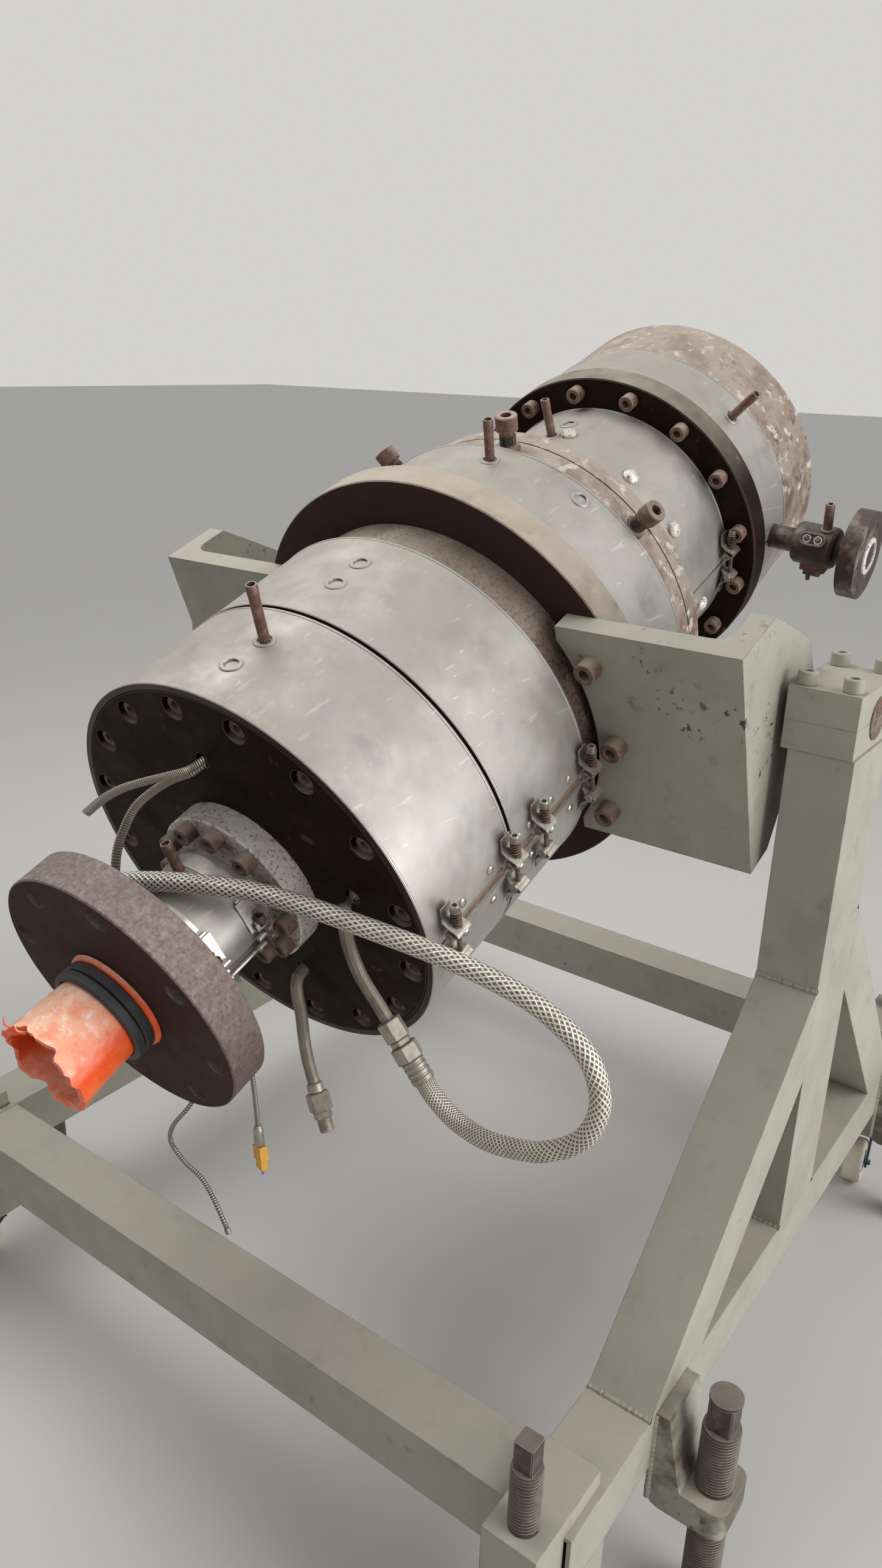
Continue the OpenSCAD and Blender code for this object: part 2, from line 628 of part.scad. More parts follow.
// Puts the children at a point with Z along a direction
module aim(p, v) translate(p) rotate([0, acos(v[2] / norm(v)), atan2(v[1], v[0])]) children();
function last(p) = p[len(p) - 1];
function way_out(p) = unit(last(p) - p[len(p) - 2]);
// Puts a fitting on the end of a route, just clear of its end face
end_gap = 0.6;
module at_end(p) aim(last(p) + end_gap * way_out(p), way_out(p)) children();

// Ends of the hose, pipes and cables: ferrules, hexagon nuts and the sensor plug
module cord_fittings() color("#8e8880") die_frame() {
  at_end(hose_route) {
    cylinder(d = hose_d + 6, h = 33);
    translate([0, 0, 33 - eps]) cylinder(d = 44, h = 24, $fn = 6);
    translate([0, 0, 57 - 2 * eps]) cylinder(d = 34, h = 9, $fn = 6);
  }
  at_end(feed_route) cylinder(d = 38, h = 30, $fn = 6);
  at_end([for (i = [len(hose_route) - 1:-1:0]) hose_route[i]]) {
    cylinder(d = hose_d + 6, h = 44);
    translate([0, 0, 44 - eps]) cylinder(d = 46, h = 26, $fn = 6);
  }
  at_end(drain_route) {
    cylinder(d = pipe_d + 6, h = 16);
    translate([0, 0, 16 - eps]) cylinder(d = 38, h = 30, $fn = 6);
    translate([0, 0, 46 - 2 * eps]) cylinder(d = 30, h = 12, $fn = 6);
    translate([0, 0, 58 - 3 * eps]) cylinder(d = 24, h = 22);
  }
  at_end(cable_1_route) cylinder(d = cable_d + 2, h = 8);
  at_end(cable_2_route) {
    cylinder(d = 16, h = 34);
    translate([-11, -7, 34 - eps]) cube([22, 14, 42]);
    translate([0, 0, 76 - 2 * eps]) cylinder(d = 5, h = 10);
  }
}

// Casters: the fork swivels about its own upright, the wheel turns in the fork
caster_trail = 40;
fork_t = 5;
wheel_w = 42;
axle_d = 12;
tyre_edge = 6;
hub_r = 20;
web = 5;
wheel_z = wheel_lift + wheel_d / 2;
fork_top = caster_h - caster_plate_t - seat;
crown_z = wheel_z + wheel_d / 2 + 5;
fork_in = wheel_w / 2 + 2;
module fork() {
  rotate_extrude() polygon([[0, crown_z], [26, crown_z], [34, crown_z + 6], [36, fork_top - 6],
    [36, fork_top], [0, fork_top]]);
  translate([-fork_in - fork_t, -24, crown_z]) cube([2 * (fork_in + fork_t), 48, fork_t]);
  for (x = [-fork_in - fork_t, fork_in]) translate([x, 0, 0]) rotate([90, 0, 90]) linear_extrude(fork_t) {
    polygon([[-24, crown_z + fork_t], [-caster_trail - 14, wheel_z], [-caster_trail + 13, wheel_z - 4],
      [24, crown_z + fork_t]]);
    translate([-caster_trail, wheel_z]) circle(14);
  }
  translate([-fork_in - fork_t - 6, -caster_trail, wheel_z]) rotate([0, 90, 0])
    cylinder(d = axle_d, h = 2 * (fork_in + fork_t + 6));
}

// Wheel with a rounded tread and a hub that stands out from its web
module caster_wheel() translate([0, -caster_trail, wheel_z]) rotate([0, 90, 0]) rotate_extrude()
  polygon([[axle_d / 2 + 0.1, -wheel_w / 2], [hub_r, -wheel_w / 2], [hub_r + 2, -wheel_w / 2 + web],
    [wheel_d / 2 - 12, -wheel_w / 2 + web], [wheel_d / 2 - 10, -wheel_w / 2], [wheel_d / 2 - tyre_edge, -wheel_w / 2],
    [wheel_d / 2 - tyre_edge / 4, -wheel_w / 2 + tyre_edge / 3], [wheel_d / 2, -wheel_w / 2 + tyre_edge],
    [wheel_d / 2, wheel_w / 2 - tyre_edge], [wheel_d / 2 - tyre_edge / 4, wheel_w / 2 - tyre_edge / 3],
    [wheel_d / 2 - tyre_edge, wheel_w / 2], [wheel_d / 2 - 10, wheel_w / 2], [wheel_d / 2 - 12, wheel_w / 2 - web],
    [hub_r + 2, wheel_w / 2 - web], [hub_r, wheel_w / 2], [axle_d / 2 + 0.1, wheel_w / 2]]);

module place_caster(side, y, turn) floor_frame() translate([side * side_x, y, 0]) rotate([0, 0, turn]) children();

module fork_front_right() color("#4b4a48") place_caster(1, caster_front_y, 150) fork();
module fork_front_left() color("#4b4a48") place_caster(-1, caster_front_y, -27) fork();
module fork_rear_right() color("#4b4a48") place_caster(1, caster_rear_y, 8) fork();
module fork_rear_left() color("#4b4a48") place_caster(-1, caster_rear_y, 200) fork();
module wheel_front_right() color("#e0dcc8") place_caster(1, caster_front_y, 150) caster_wheel();
module wheel_front_left() color("#e0dcc8") place_caster(-1, caster_front_y, -27) caster_wheel();
module wheel_rear_right() color("#e0dcc8") place_caster(1, caster_rear_y, 8) caster_wheel();
module wheel_rear_left() color("#e0dcc8") place_caster(-1, caster_rear_y, 200) caster_wheel();

side_beams();
cross_beams();
posts();
legs();
bearing_bases();
bearing_caps();
corner_blocks();
corner_screws();
jack_brackets();
jack_screws();
caster_legs();
inlet_sleeve();
sleeve_rings();
inlet_flange();
inlet_adapter();
neck_heater();
front_cover();
die_body();
heater_band_1();
heater_band_2();
seam_strips();
seam_clamps();
clamp_springs();
main_flange();
trunnion_brackets();
trunnion_shafts();
heater_band_3();
centering_ring();
centering_screws();
outlet_neck();
heater_band_4();
outlet_flange();
heater_band_5();
outlet_ring();
mandrel();
side_adapter();
thermocouples();
cover_pipes();
braided_hose();
armoured_cable_1();
armoured_cable_2();
flat_lead_1();
flat_lead_2();
cord_fittings();
fork_front_right();
fork_front_left();
fork_rear_right();
fork_rear_left();
wheel_front_right();
wheel_front_left();
wheel_rear_right();
wheel_rear_left();
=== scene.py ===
import json
import math
import random
import bmesh
import bpy
from mathutils import Matrix, Vector, noise


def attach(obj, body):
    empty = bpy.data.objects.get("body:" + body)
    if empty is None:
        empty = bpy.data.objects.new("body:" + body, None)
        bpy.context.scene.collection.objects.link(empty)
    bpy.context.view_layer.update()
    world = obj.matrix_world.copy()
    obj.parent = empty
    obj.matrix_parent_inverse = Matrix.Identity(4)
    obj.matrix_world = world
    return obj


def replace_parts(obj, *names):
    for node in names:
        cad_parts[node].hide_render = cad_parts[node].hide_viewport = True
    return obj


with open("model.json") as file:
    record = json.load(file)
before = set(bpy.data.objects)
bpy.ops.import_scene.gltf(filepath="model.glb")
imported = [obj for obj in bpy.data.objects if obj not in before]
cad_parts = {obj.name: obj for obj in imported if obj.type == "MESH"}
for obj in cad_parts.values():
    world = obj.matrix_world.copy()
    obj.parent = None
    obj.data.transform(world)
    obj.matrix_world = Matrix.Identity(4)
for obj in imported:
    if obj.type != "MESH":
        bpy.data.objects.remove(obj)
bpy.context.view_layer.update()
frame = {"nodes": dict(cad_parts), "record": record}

bl_info = {
    "name": "Pipe die head on a trolley",
    "version": (1, 0, 0),
    "blender": (4, 5, 0),
    "location": "View3D > Sidebar > Die head",
    "description": "Dresses the packed model of a pipe extrusion die head and its trolley",
    "category": "Add Mesh",
}

NODES = frame["nodes"]
JOINTS = {j["name"]: j for j in frame["record"]["behaviour"]["joints"]}
PIVOT = Vector(JOINTS["die_tilt"]["pos_m"])
TILT = math.radians(21)
MM = 0.001
# The die's frame in the row's frame: Y along the die, origin on the trunnion axis
DIE = Matrix.Translation(PIVOT) @ Matrix.Rotation(TILT, 4, "X")
# The floor frame with y = 0 at the trunnion axis
FLOOR = Matrix.Translation((0, PIVOT.y, 0))


def die_point(x, s, h):
    """Point given along the die in millimetres, in the row's frame in metres."""
    return DIE @ Vector((x * MM, s * MM, h * MM))


def shift(x, y, z):
    """Move given in millimetres."""
    return Matrix.Translation((x * MM, y * MM, z * MM))


def spin(degrees, axis):
    """Turn about one axis."""
    return Matrix.Rotation(math.radians(degrees), 4, axis)


def around(turn, s, r):
    """Frame on the die: Z outward at a turn in degrees clockwise from the top, Y along the die."""
    return DIE @ spin(turn, "Y") @ shift(0, s, r)


def along(turn, s, r):
    """Frame on a face of the die: Z towards the inlet, at a turn and a radius."""
    return around(turn, s, r) @ spin(90, "X")


def ring_point(r, turn, s):
    """Point at a radius, a turn in radians clockwise from the top and a station, in metres."""
    return (r * MM * math.sin(turn), s * MM, r * MM * math.cos(turn))


# Sizes and places of the fixed solids that pieces sit on, in millimetres: first the die's
BAND_R = 332
BAND3_R = 348
BAND4_R = 258
BAND5_R = 306
RING_R = 332
NECK_R = 89.5
COVER_S = -666
BRACKET_FRONT_S = -194
ADAPTER_S = -706
INLET_S = -937
OUTLET_S = 448
SIDE_INLET_S = 560
SEAM_TURN = 96
# Then the trolley's, with y from the trunnion axis
SIDE_X = 652
TUBE = 100
BEAM_LOW = 260
BEAM_TOP = 360
BEARING_X = 645
BEARING_TOP = 1302
BLOCK_W = 80
JACK_X = 781
JACK_Y = (-504, 535)
CORNER_Y = (-823, 717)
FRONT_Y = -788
REAR_Y = 582


# Corners closer than this are one corner, in metres
MERGE = 1e-6


class Shape:
    """A mesh under construction: closed solids added one by one, in metres."""

    def __init__(self):
        self.bm = bmesh.new()
        self.uv = self.bm.loops.layers.uv.new("UVMap")

    def rings(self, rings, at=Matrix(), caps=True, loop=False):
        """Skin over rings of points that all have the same count."""
        rows = [[self.bm.verts.new(at @ Vector(p)) for p in ring] for ring in rings]
        count = len(rows[0])
        pairs = list(zip(range(len(rows)), range(1, len(rows))))
        if loop:
            pairs.append((len(rows) - 1, 0))
        for a, b in pairs:
            for k in range(count):
                n = (k + 1) % count
                face = self.bm.faces.new((rows[a][k], rows[a][n], rows[b][n], rows[b][k]))
                corners = ((k, a), (k + 1, a), (k + 1, a + 1), (k, a + 1))
                for corner, (u, v) in zip(face.loops, corners):
                    corner[self.uv].uv = (u / count, v / len(rows))
        if caps and not loop:
            self.bm.faces.new(list(reversed(rows[0])))
            self.bm.faces.new(rows[-1])

    def lathe(self, profile, at, steps=32):
        """Turned solid from (radius, height) points in millimetres, about the frame's Z."""
        turns = [2 * math.pi * k / steps for k in range(steps)]
        self.rings([[(r * MM * math.cos(turn), r * MM * math.sin(turn), z * MM) for turn in turns]
                    for r, z in profile], at)

    def prism(self, outline, low, high, at, bevel=0.0):
        """Upright solid over an outline in millimetres, its two rims chamfered."""
        centre = Vector((sum(p[0] for p in outline), sum(p[1] for p in outline))) / len(outline)

        def ring(height, inset):
            points = []
            for p in outline:
                q = Vector(p) - centre
                q *= 1 - inset / max(q.length, 1e-6)
                points.append(((centre.x + q.x) * MM, (centre.y + q.y) * MM, height * MM))
            return points
        if bevel:
            rows = [ring(low, bevel), ring(low + bevel, 0), ring(high - bevel, 0), ring(high, bevel)]
        else:
            rows = [ring(low, 0), ring(high, 0)]
        self.rings(rows, at)

    def box(self, low, high, at, bevel=0.8):
        """Box between two corners in millimetres."""
        outline = [(low[0], low[1]), (high[0], low[1]), (high[0], high[1]), (low[0], high[1])]
        self.prism(outline, low[2], high[2], at, bevel)

    def sweep(self, route, section, at=Matrix(), side=None):
        """Section of (across, up) millimetres carried along a route of points in metres."""
        self.rings([[point + across * (a * MM) + up * (b * MM) for a, b in section]
                    for point, across, up in carried_frames(route, side)], at)

    def piece(self, name, material, body, slot=None, smooth=35.0):
        """Closes the mesh, makes its object and puts it on a body."""
        bmesh.ops.remove_doubles(self.bm, verts=self.bm.verts, dist=MERGE)
        bmesh.ops.dissolve_degenerate(self.bm, dist=MERGE, edges=self.bm.edges)
        bmesh.ops.recalc_face_normals(self.bm, faces=self.bm.faces)
        mesh = bpy.data.meshes.new(name)
        self.bm.to_mesh(mesh)
        self.bm.free()
        mesh.materials.append(material)
        for polygon in mesh.polygons:
            polygon.use_smooth = True
        mesh.set_sharp_from_angle(angle=math.radians(smooth))
        thing = bpy.data.objects.new(name, mesh)
        bpy.context.scene.collection.objects.link(thing)
        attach(thing, body)
        return thing


def carried_frames(route, side=None):
    """Point and two directions across it for each point of a route, with no twist."""
    points = [Vector(p) for p in route]
    frames = []
    across = None
    for i, point in enumerate(points):
        tangent = (points[min(i + 1, len(points) - 1)] - points[max(i - 1, 0)]).normalized()
        if across is None:
            guide = Vector(side) if side else Vector((0.31, 0.17, 0.93))
            across = guide - tangent * guide.dot(tangent)
        else:
            across = across - tangent * across.dot(tangent)
        across.normalize()
        frames.append((point, across, tangent.cross(across)))
    return frames


def oval(across, up, steps):
    """Section with two half widths, in millimetres."""
    turns = [2 * math.pi * k / steps for k in range(steps)]
    return [(across * math.cos(turn), up * math.sin(turn)) for turn in turns]


def circle(radius, steps=12):
    """Section of a round bar, in millimetres."""
    return oval(radius, radius, steps)


def smooth_route(points, steps):
    """Smooth curve through given points."""
    p = [Vector(q) for q in points]
    out = []
    for i in range(len(p) - 1):
        a, b, c, d = p[max(i - 1, 0)], p[i], p[i + 1], p[min(i + 2, len(p) - 1)]
        for k in range(steps):
            t = k / steps
            out.append(0.5 * ((2 * b) + (c - a) * t + (2 * a - 5 * b + 4 * c - d) * t * t
                              + (3 * b - a - 3 * c + d) * t * t * t))
    out.append(p[-1])
    return out


def helix(radius, pitch, turns, start=0.0, steps=16):
    """Points of a coil about Z, in metres, from millimetre sizes."""
    count = int(turns * steps)
    places = [(2 * math.pi * k / steps, (start + pitch * k / steps) * MM) for k in range(count + 1)]
    return [Vector((radius * MM * math.cos(turn), radius * MM * math.sin(turn), z)) for turn, z in places]


# Materials

def linear(code):
    """Linear colour from an sRGB hex value."""
    channels = [int(code[i:i + 2], 16) / 255 for i in (1, 3, 5)]
    return [c / 12.92 if c <= 0.04045 else ((c + 0.055) / 1.055) ** 2.4 for c in channels] + [1.0]


def plug(tree, socket, value):
    """Links a socket, or sets it to a value or an sRGB hex colour."""
    if isinstance(value, bpy.types.NodeSocket):
        tree.links.new(value, socket)
    else:
        socket.default_value = linear(value) if isinstance(value, str) else value


def add(tree, kind, inputs=None, **settings):
    """Adds a node with its settings, and its inputs as values or links."""
    node = tree.nodes.new(kind)
    for key, value in settings.items():
        setattr(node, key, value)
    for key, value in (inputs or {}).items():
        plug(tree, node.inputs[key], value)
    return node


def calc(tree, operation, *values):
    """Result of one sum on values or links."""
    return add(tree, "ShaderNodeMath", dict(enumerate(values)), operation=operation).outputs[0]


def ranged(tree, value, low, high, to_low=0.0, to_high=1.0):
    """Value carried from one range to another, and held at its ends."""
    return add(tree, "ShaderNodeMapRange", {"Value": value, "From Min": low, "From Max": high,
                                            "To Min": to_low, "To Max": to_high}).outputs["Result"]


def clouds(tree, vector, scale, detail=3.0, **more):
    """Plain noise over the surface."""
    inputs = {"Vector": vector, "Scale": scale, "Detail": detail, **more}
    return add(tree, "ShaderNodeTexNoise", inputs).outputs["Fac"]


def split(tree, vector, axis):
    """One of the numbers of a vector."""
    return add(tree, "ShaderNodeSeparateXYZ", {"Vector": vector}).outputs[axis]


def mixed(tree, a, b, factor):
    """Colour a under colour b, where b shows by a factor."""
    return add(tree, "ShaderNodeMix", {0: factor, 6: a, 7: b}, data_type="RGBA").outputs[2]


def start_material(name, roughness, metallic=0.0):
    """New material with its surface shader; returns the material, its tree, shader and place."""
    material = bpy.data.materials.new(name)
    material.use_nodes = True
    tree = material.node_tree
    shader = tree.nodes["Principled BSDF"]
    shader.inputs["Roughness"].default_value = roughness
    shader.inputs["Metallic"].default_value = metallic
    place = add(tree, "ShaderNodeTexCoord")
    return material, tree, shader, place


def patches(tree, vector, size_mm, cover, soft=0.08, seed=0.0):
    """Mask of irregular patches of a size, over a share of the surface."""
    inputs = {"Vector": vector, "W": seed, "Scale": 1000 / size_mm, "Detail": 4.0, "Roughness": 0.6}
    cloud = add(tree, "ShaderNodeTexNoise", inputs, noise_dimensions="4D").outputs["Fac"]
    middle = 0.5 + 0.28 * (0.5 - cover) * 2
    return ranged(tree, cloud, middle - soft, middle + soft)


def layered(tree, vector, base, layers):
    """Base colour with patches over it: (colour, size in mm, cover, softness, strength)."""
    colour = linear(base)
    for index, (code, size_mm, cover, soft, strength) in enumerate(layers):
        mask = patches(tree, vector, size_mm, cover, soft, seed=3.7 * index + size_mm * 0.01)
        colour = mixed(tree, colour, code, calc(tree, "MULTIPLY", mask, strength))
    return colour


def bumped(tree, shader, vector, grains, bevel_mm=0.0):
    """Fine relief from several noises: (size in mm, height in mm)."""
    normal = None
    if bevel_mm:
        normal = add(tree, "ShaderNodeBevel", {"Radius": bevel_mm * MM}, samples=4).outputs["Normal"]
    for size_mm, height_mm in grains:
        inputs = {"Height": clouds(tree, vector, 1000 / size_mm), "Strength": 1.0, "Distance": height_mm * MM}
        if normal:
            inputs["Normal"] = normal
        normal = add(tree, "ShaderNodeBump", inputs).outputs["Normal"]
    tree.links.new(normal, shader.inputs["Normal"])


def edge_mask(tree, radius_mm):
    """Where a sharp edge lies: how far a rounded normal turns from the true one."""
    rounded = add(tree, "ShaderNodeBevel", {"Radius": radius_mm * MM}, samples=4).outputs["Normal"]
    true = add(tree, "ShaderNodeNewGeometry").outputs["Normal"]
    dot = add(tree, "ShaderNodeVectorMath", {0: rounded, 1: true}, operation="DOT_PRODUCT").outputs["Value"]
    return ranged(tree, dot, 0.995, 0.93)


def end_mask(tree, place):
    """Where a face looks along the die, towards its inlet or its outlet."""
    axis = DIE.to_3x3() @ Vector((0, 1, 0))
    flat = add(tree, "ShaderNodeVectorMath", {0: place.outputs["Normal"], 1: axis}, operation="DOT_PRODUCT")
    return ranged(tree, calc(tree, "ABSOLUTE", flat.outputs["Value"]), 0.8, 0.95)


def up_mask(tree, place, low, high, most=1.0):
    """Where a face looks up, from one steepness to another."""
    return ranged(tree, split(tree, place.outputs["Normal"], "Z"), low, high, to_high=most)


def dusted(tree, shader, place, colour, rough, metallic, dust):
    """Workshop dust on what faces up, as (amount, colour, from, to): pale and matt over the surface's own."""
    amount, code, low, high = dust
    vector = place.outputs["Object"]
    up = up_mask(tree, place, low, high, amount)
    uneven = ranged(tree, clouds(tree, vector, 9.0, 5.0, Roughness=0.65), 0.3, 0.6, 0.45)
    mask = calc(tree, "MULTIPLY", up, uneven)
    tree.links.new(mixed(tree, colour, code, mask), shader.inputs["Base Color"])
    bare = ranged(tree, clouds(tree, vector, 18.0), 0.3, 0.7, rough - 0.08, rough + 0.08)
    total = calc(tree, "MULTIPLY_ADD", calc(tree, "SUBTRACT", 0.85, bare), mask, bare)
    tree.links.new(total, shader.inputs["Roughness"])
    if metallic:
        shine = ranged(tree, mask, 0.0, 1.0, metallic, metallic * 0.15)
        tree.links.new(shine, shader.inputs["Metallic"])


def weathered(name, rough, metallic, base, layers, grains, bevel_mm=0.0, dust=None, edge=None):
    """Surface of one colour under patches, with worn edges (colour, width in mm), dust and a fine grain."""
    material, tree, shader, place = start_material(name, rough, metallic)
    colour = layered(tree, place.outputs["Object"], base, layers)
    if edge:
        colour = mixed(tree, colour, edge[0], edge_mask(tree, edge[1]))
    if dust:
        dusted(tree, shader, place, colour, rough, metallic, dust)
    else:
        tree.links.new(colour, shader.inputs["Base Color"])
    bumped(tree, shader, place.outputs["Object"], grains, bevel_mm)
    return material


def painted_steel(name, base, chips, oil=0.1):
    """Grey-green machine enamel on welded steel: matt, dusty on top, chipped and stained brown by oil."""
    material, tree, shader, place = start_material(name, 0.58)
    vector = place.outputs["Object"]
    colour = layered(tree, vector, base, [
        ("#86867a", 260, 0.45, 0.16, 0.65), ("#aaa79b", 90, 0.4, 0.15, 0.45),
        ("#7d7060", 36, 0.2, 0.1, 0.55)])
    spots = patches(tree, vector, 15, chips, 0.02, seed=21.0)
    region = patches(tree, vector, 170, 0.34, 0.04, seed=24.0)
    colour = mixed(tree, colour, "#423d38", calc(tree, "MULTIPLY", spots, region))
    colour = mixed(tree, colour, "#544a3e", patches(tree, vector, 6, 0.09, 0.02, seed=31.0))
    stain = patches(tree, vector, 70, oil, 0.07, seed=35.0)
    colour = mixed(tree, colour, "#4b3f31", calc(tree, "MULTIPLY", stain, 0.85))
    rubbed = patches(tree, vector, 26, 0.42, 0.1, seed=40.0)
    colour = mixed(tree, colour, "#6a5c4c", calc(tree, "MULTIPLY", edge_mask(tree, 3.0), rubbed))
    dusted(tree, shader, place, colour, 0.58, 0.0, (0.62, "#a9a294", 0.3, 0.95))
    bumped(tree, shader, vector, [(55, 0.6), (4, 0.12)], bevel_mm=2.5)
    return material


def heater_sheet():
    """Stainless sheet, rolled and heat-stained: satin silver at the sides with soft blue-grey clouds
    and long scratches, buried under beige dust on top, with its end faces painted dark as painted shade."""
    material, tree, shader, place = start_material("stainless_sheet_heat_stained", 0.4, 0.62)
    vector = place.outputs["Object"]
    colour = layered(tree, vector, "#b6b3ae", [
        ("#a19c94", 300, 0.5, 0.16, 0.7), ("#58595e", 170, 0.2, 0.13, 0.8), ("#77767b", 70, 0.16, 0.1, 0.6),
        ("#bdb7ad", 90, 0.3, 0.12, 0.5), ("#77726a", 14, 0.1, 0.05, 0.4)])
    for turn, scale, strength in ((0.7, 0.30, 0.4), (2.1, 0.22, 0.3)):
        lines = add(tree, "ShaderNodeMapping", {"Vector": vector, "Scale": (420, 3, 240),
                                                "Rotation": (0.4 * turn, 0.2, turn)})
        scratch = clouds(tree, lines.outputs["Vector"], scale, 2.0)
        colour = mixed(tree, colour, "#e9e5dc", ranged(tree, scratch, 0.69, 0.73, to_high=strength))
    grime = patches(tree, vector, 60, 0.3, 0.12, seed=51.0)
    colour = mixed(tree, colour, "#8a7f70", calc(tree, "MULTIPLY", grime, 0.35))
    # painted shade: faces that look along the die, the bands' ends, are painted dark
    colour = mixed(tree, colour, "#332c27", end_mask(tree, place))
    dusted(tree, shader, place, colour, 0.4, 0.62, (0.75, "#978e82", 0.3, 0.98))
    bumped(tree, shader, vector, [(180, 1.4), (3, 0.03)], bevel_mm=1.0)
    return material


def oxidised_steel():
    """Forged steel baked dark brown by the heaters, with orange rust in patches on it."""
    material = weathered("baked_dark_steel", 0.62, 0.12, "#1f130d", [
        ("#150c08", 120, 0.5, 0.15, 0.8), ("#31200f", 40, 0.3, 0.12, 0.6), ("#7a5236", 44, 0.17, 0.05, 0.85),
        ("#a08b74", 9, 0.05, 0.03, 0.6)], [(14, 0.25), (2.5, 0.1)], 1.5, (0.85, "#ada394", 0.35, 0.95),
        ("#75655a", 1.6))
    material.node_tree.nodes["Principled BSDF"].inputs["Specular IOR Level"].default_value = 0.12
    return material


def machined_steel(name, base, rust, speckle, dust=0.6, stains=0.1):
    """Turned steel gone brown: light where it was handled, speckled with dark rust."""
    return weathered(name, 0.52, 0.35, base, [
        (rust, 110, 0.42, 0.14, 0.75), ("#b8ab9b", 55, 0.3, 0.1, 0.6), ("#5b4232", 22, 0.22, 0.06, 0.7),
        ("#3a2a22", 6, speckle, 0.05, 0.75), ("#84502e", 30, stains, 0.05, 0.6)],
        [(8, 0.2), (2, 0.08)], 1.5, (dust, "#b6ab9b", 0.3, 0.95))


def patchy_steel():
    """Turned rings left outdoors: grey dust on top, brown rust with white bloom breaking through it."""
    return weathered("turned_steel_rust_bloom", 0.58, 0.2, "#9a8c80", [
        ("#6c4d3d", 75, 0.46, 0.07, 0.8), ("#e0d9cf", 24, 0.3, 0.05, 0.75), ("#513629", 16, 0.3, 0.05, 0.7),
        ("#a3653f", 34, 0.16, 0.05, 0.6), ("#3a2a22", 5, 0.22, 0.04, 0.6)],
        [(10, 0.3), (2, 0.1)], 1.5, (0.62, "#aca092", 0.3, 1.0))


def flange_steel(name, rim_base, rim_layers, streaks, dust):
    """Forged flange: its turned rim has its own bloom, its flat faces are baked dark brown; faces that look
    down carry painted shade.
    """
    material, tree, shader, place = start_material(name, 0.7, 0.15)
    vector = place.outputs["Object"]
    shader.inputs["Specular IOR Level"].default_value = 0.1
    rim = layered(tree, vector, rim_base, rim_layers)
    streak = patches(tree, vector, 80, streaks, 0.03, seed=61.0)
    rim = mixed(tree, rim, "#8f552f", calc(tree, "MULTIPLY", streak, 0.75))
    face = layered(tree, vector, "#22120b", [
        ("#170b06", 90, 0.5, 0.15, 0.8), ("#382114", 40, 0.3, 0.12, 0.6), ("#6b4a33", 9, 0.06, 0.03, 0.5)])
    colour = mixed(tree, rim, face, end_mask(tree, place))
    # painted shade: faces darken towards #4d3a37 the further they look down
    colour = mixed(tree, colour, "#4d3a37", up_mask(tree, place, 0.5, -0.3, 0.6))
    dusted(tree, shader, place, colour, 0.7, 0.0, (dust, "#b9ae9f", 0.35, 0.95))
    bumped(tree, shader, vector, [(5, 0.2), (2, 0.06)], bevel_mm=1.2)
    return material


def rusty_screw_steel():
    """Black screw steel with a brown bloom and old grease."""
    return weathered("rusted_screw_steel", 0.55, 0.3, "#534943", [
        ("#3b332f", 30, 0.45, 0.12, 0.8), ("#786b61", 14, 0.3, 0.1, 0.6), ("#634735", 20, 0.2, 0.08, 0.7)],
        [(6, 0.2), (1.6, 0.08)], 0.8, (0.45, "#a1968a", 0.4, 0.95), ("#9d9288", 1.2))


def bolt_steel():
    """Black cap screws, rusted red-brown and dusty on top."""
    return weathered("black_bolt_steel_rusted", 0.58, 0.2, "#6a4d42", [
        ("#8d7468", 16, 0.4, 0.1, 0.7), ("#4a352d", 12, 0.35, 0.1, 0.7), ("#a29185", 7, 0.2, 0.06, 0.6)],
        [(5, 0.15), (1.6, 0.06)], 0.8, (0.65, "#b2a696", 0.35, 0.95), ("#a3958a", 1.0))


def bright_steel(name, base, shade, rust, roughness=0.34):
    """Nickel or zinc plated steel: bright, a little dull and brown in its corners."""
    return weathered(name, roughness, 0.8, base, [
        (shade, 14, 0.4, 0.1, 0.7), ("#6b4734", 9, rust, 0.05, 0.7)],
        [(3, 0.05)], 0.4, (0.45, "#b5aa9c", 0.35, 0.95))


def rusted_spring():
    """Coil spring wire, rusted brown on its turns."""
    return weathered("rusted_spring_wire", 0.55, 0.4, "#5f4a3f", [
        ("#8c7b6f", 8, 0.4, 0.1, 0.7), ("#43302a", 5, 0.35, 0.1, 0.7)], [(1.5, 0.05)])


def polyethylene_film():
    """Extruded orange polyethylene: pale pink on top as a painted highlight, with some dust and stress
    whitening in it, deep orange below.
    """
    material, tree, shader, place = start_material("orange_polyethylene", 0.34)
    vector = place.outputs["Object"]
    colour = layered(tree, vector, "#f0561a", [
        ("#f57a3c", 38, 0.35, 0.12, 0.8), ("#c8400f", 50, 0.35, 0.12, 0.8), ("#6c3018", 9, 0.07, 0.03, 0.6)])
    # painted highlight: this pale pink is laid on faces that look up, mixed with some dust whitening
    pale = layered(tree, vector, "#ffc5a2", [
        ("#fff3ec", 13, 0.35, 0.06, 0.8), ("#ff9157", 22, 0.3, 0.08, 0.7)])
    blotch = patches(tree, vector, 45, 0.75, 0.14, seed=71.0)
    up = ranged(tree, calc(tree, "MULTIPLY", up_mask(tree, place, 0.1, 0.9), blotch), 0.0, 1.0, to_high=0.96)
    tree.links.new(mixed(tree, colour, pale, up), shader.inputs["Base Color"])
    shader.inputs["Subsurface Weight"].default_value = 0.2
    shader.inputs["Subsurface Radius"].default_value = (0.012, 0.005, 0.003)
    gloss = ranged(tree, clouds(tree, vector, 50), 0.3, 0.7, 0.26, 0.5)
    tree.links.new(gloss, shader.inputs["Roughness"])
    bumped(tree, shader, vector, [(18, 1.6), (4, 0.3)])
    return material


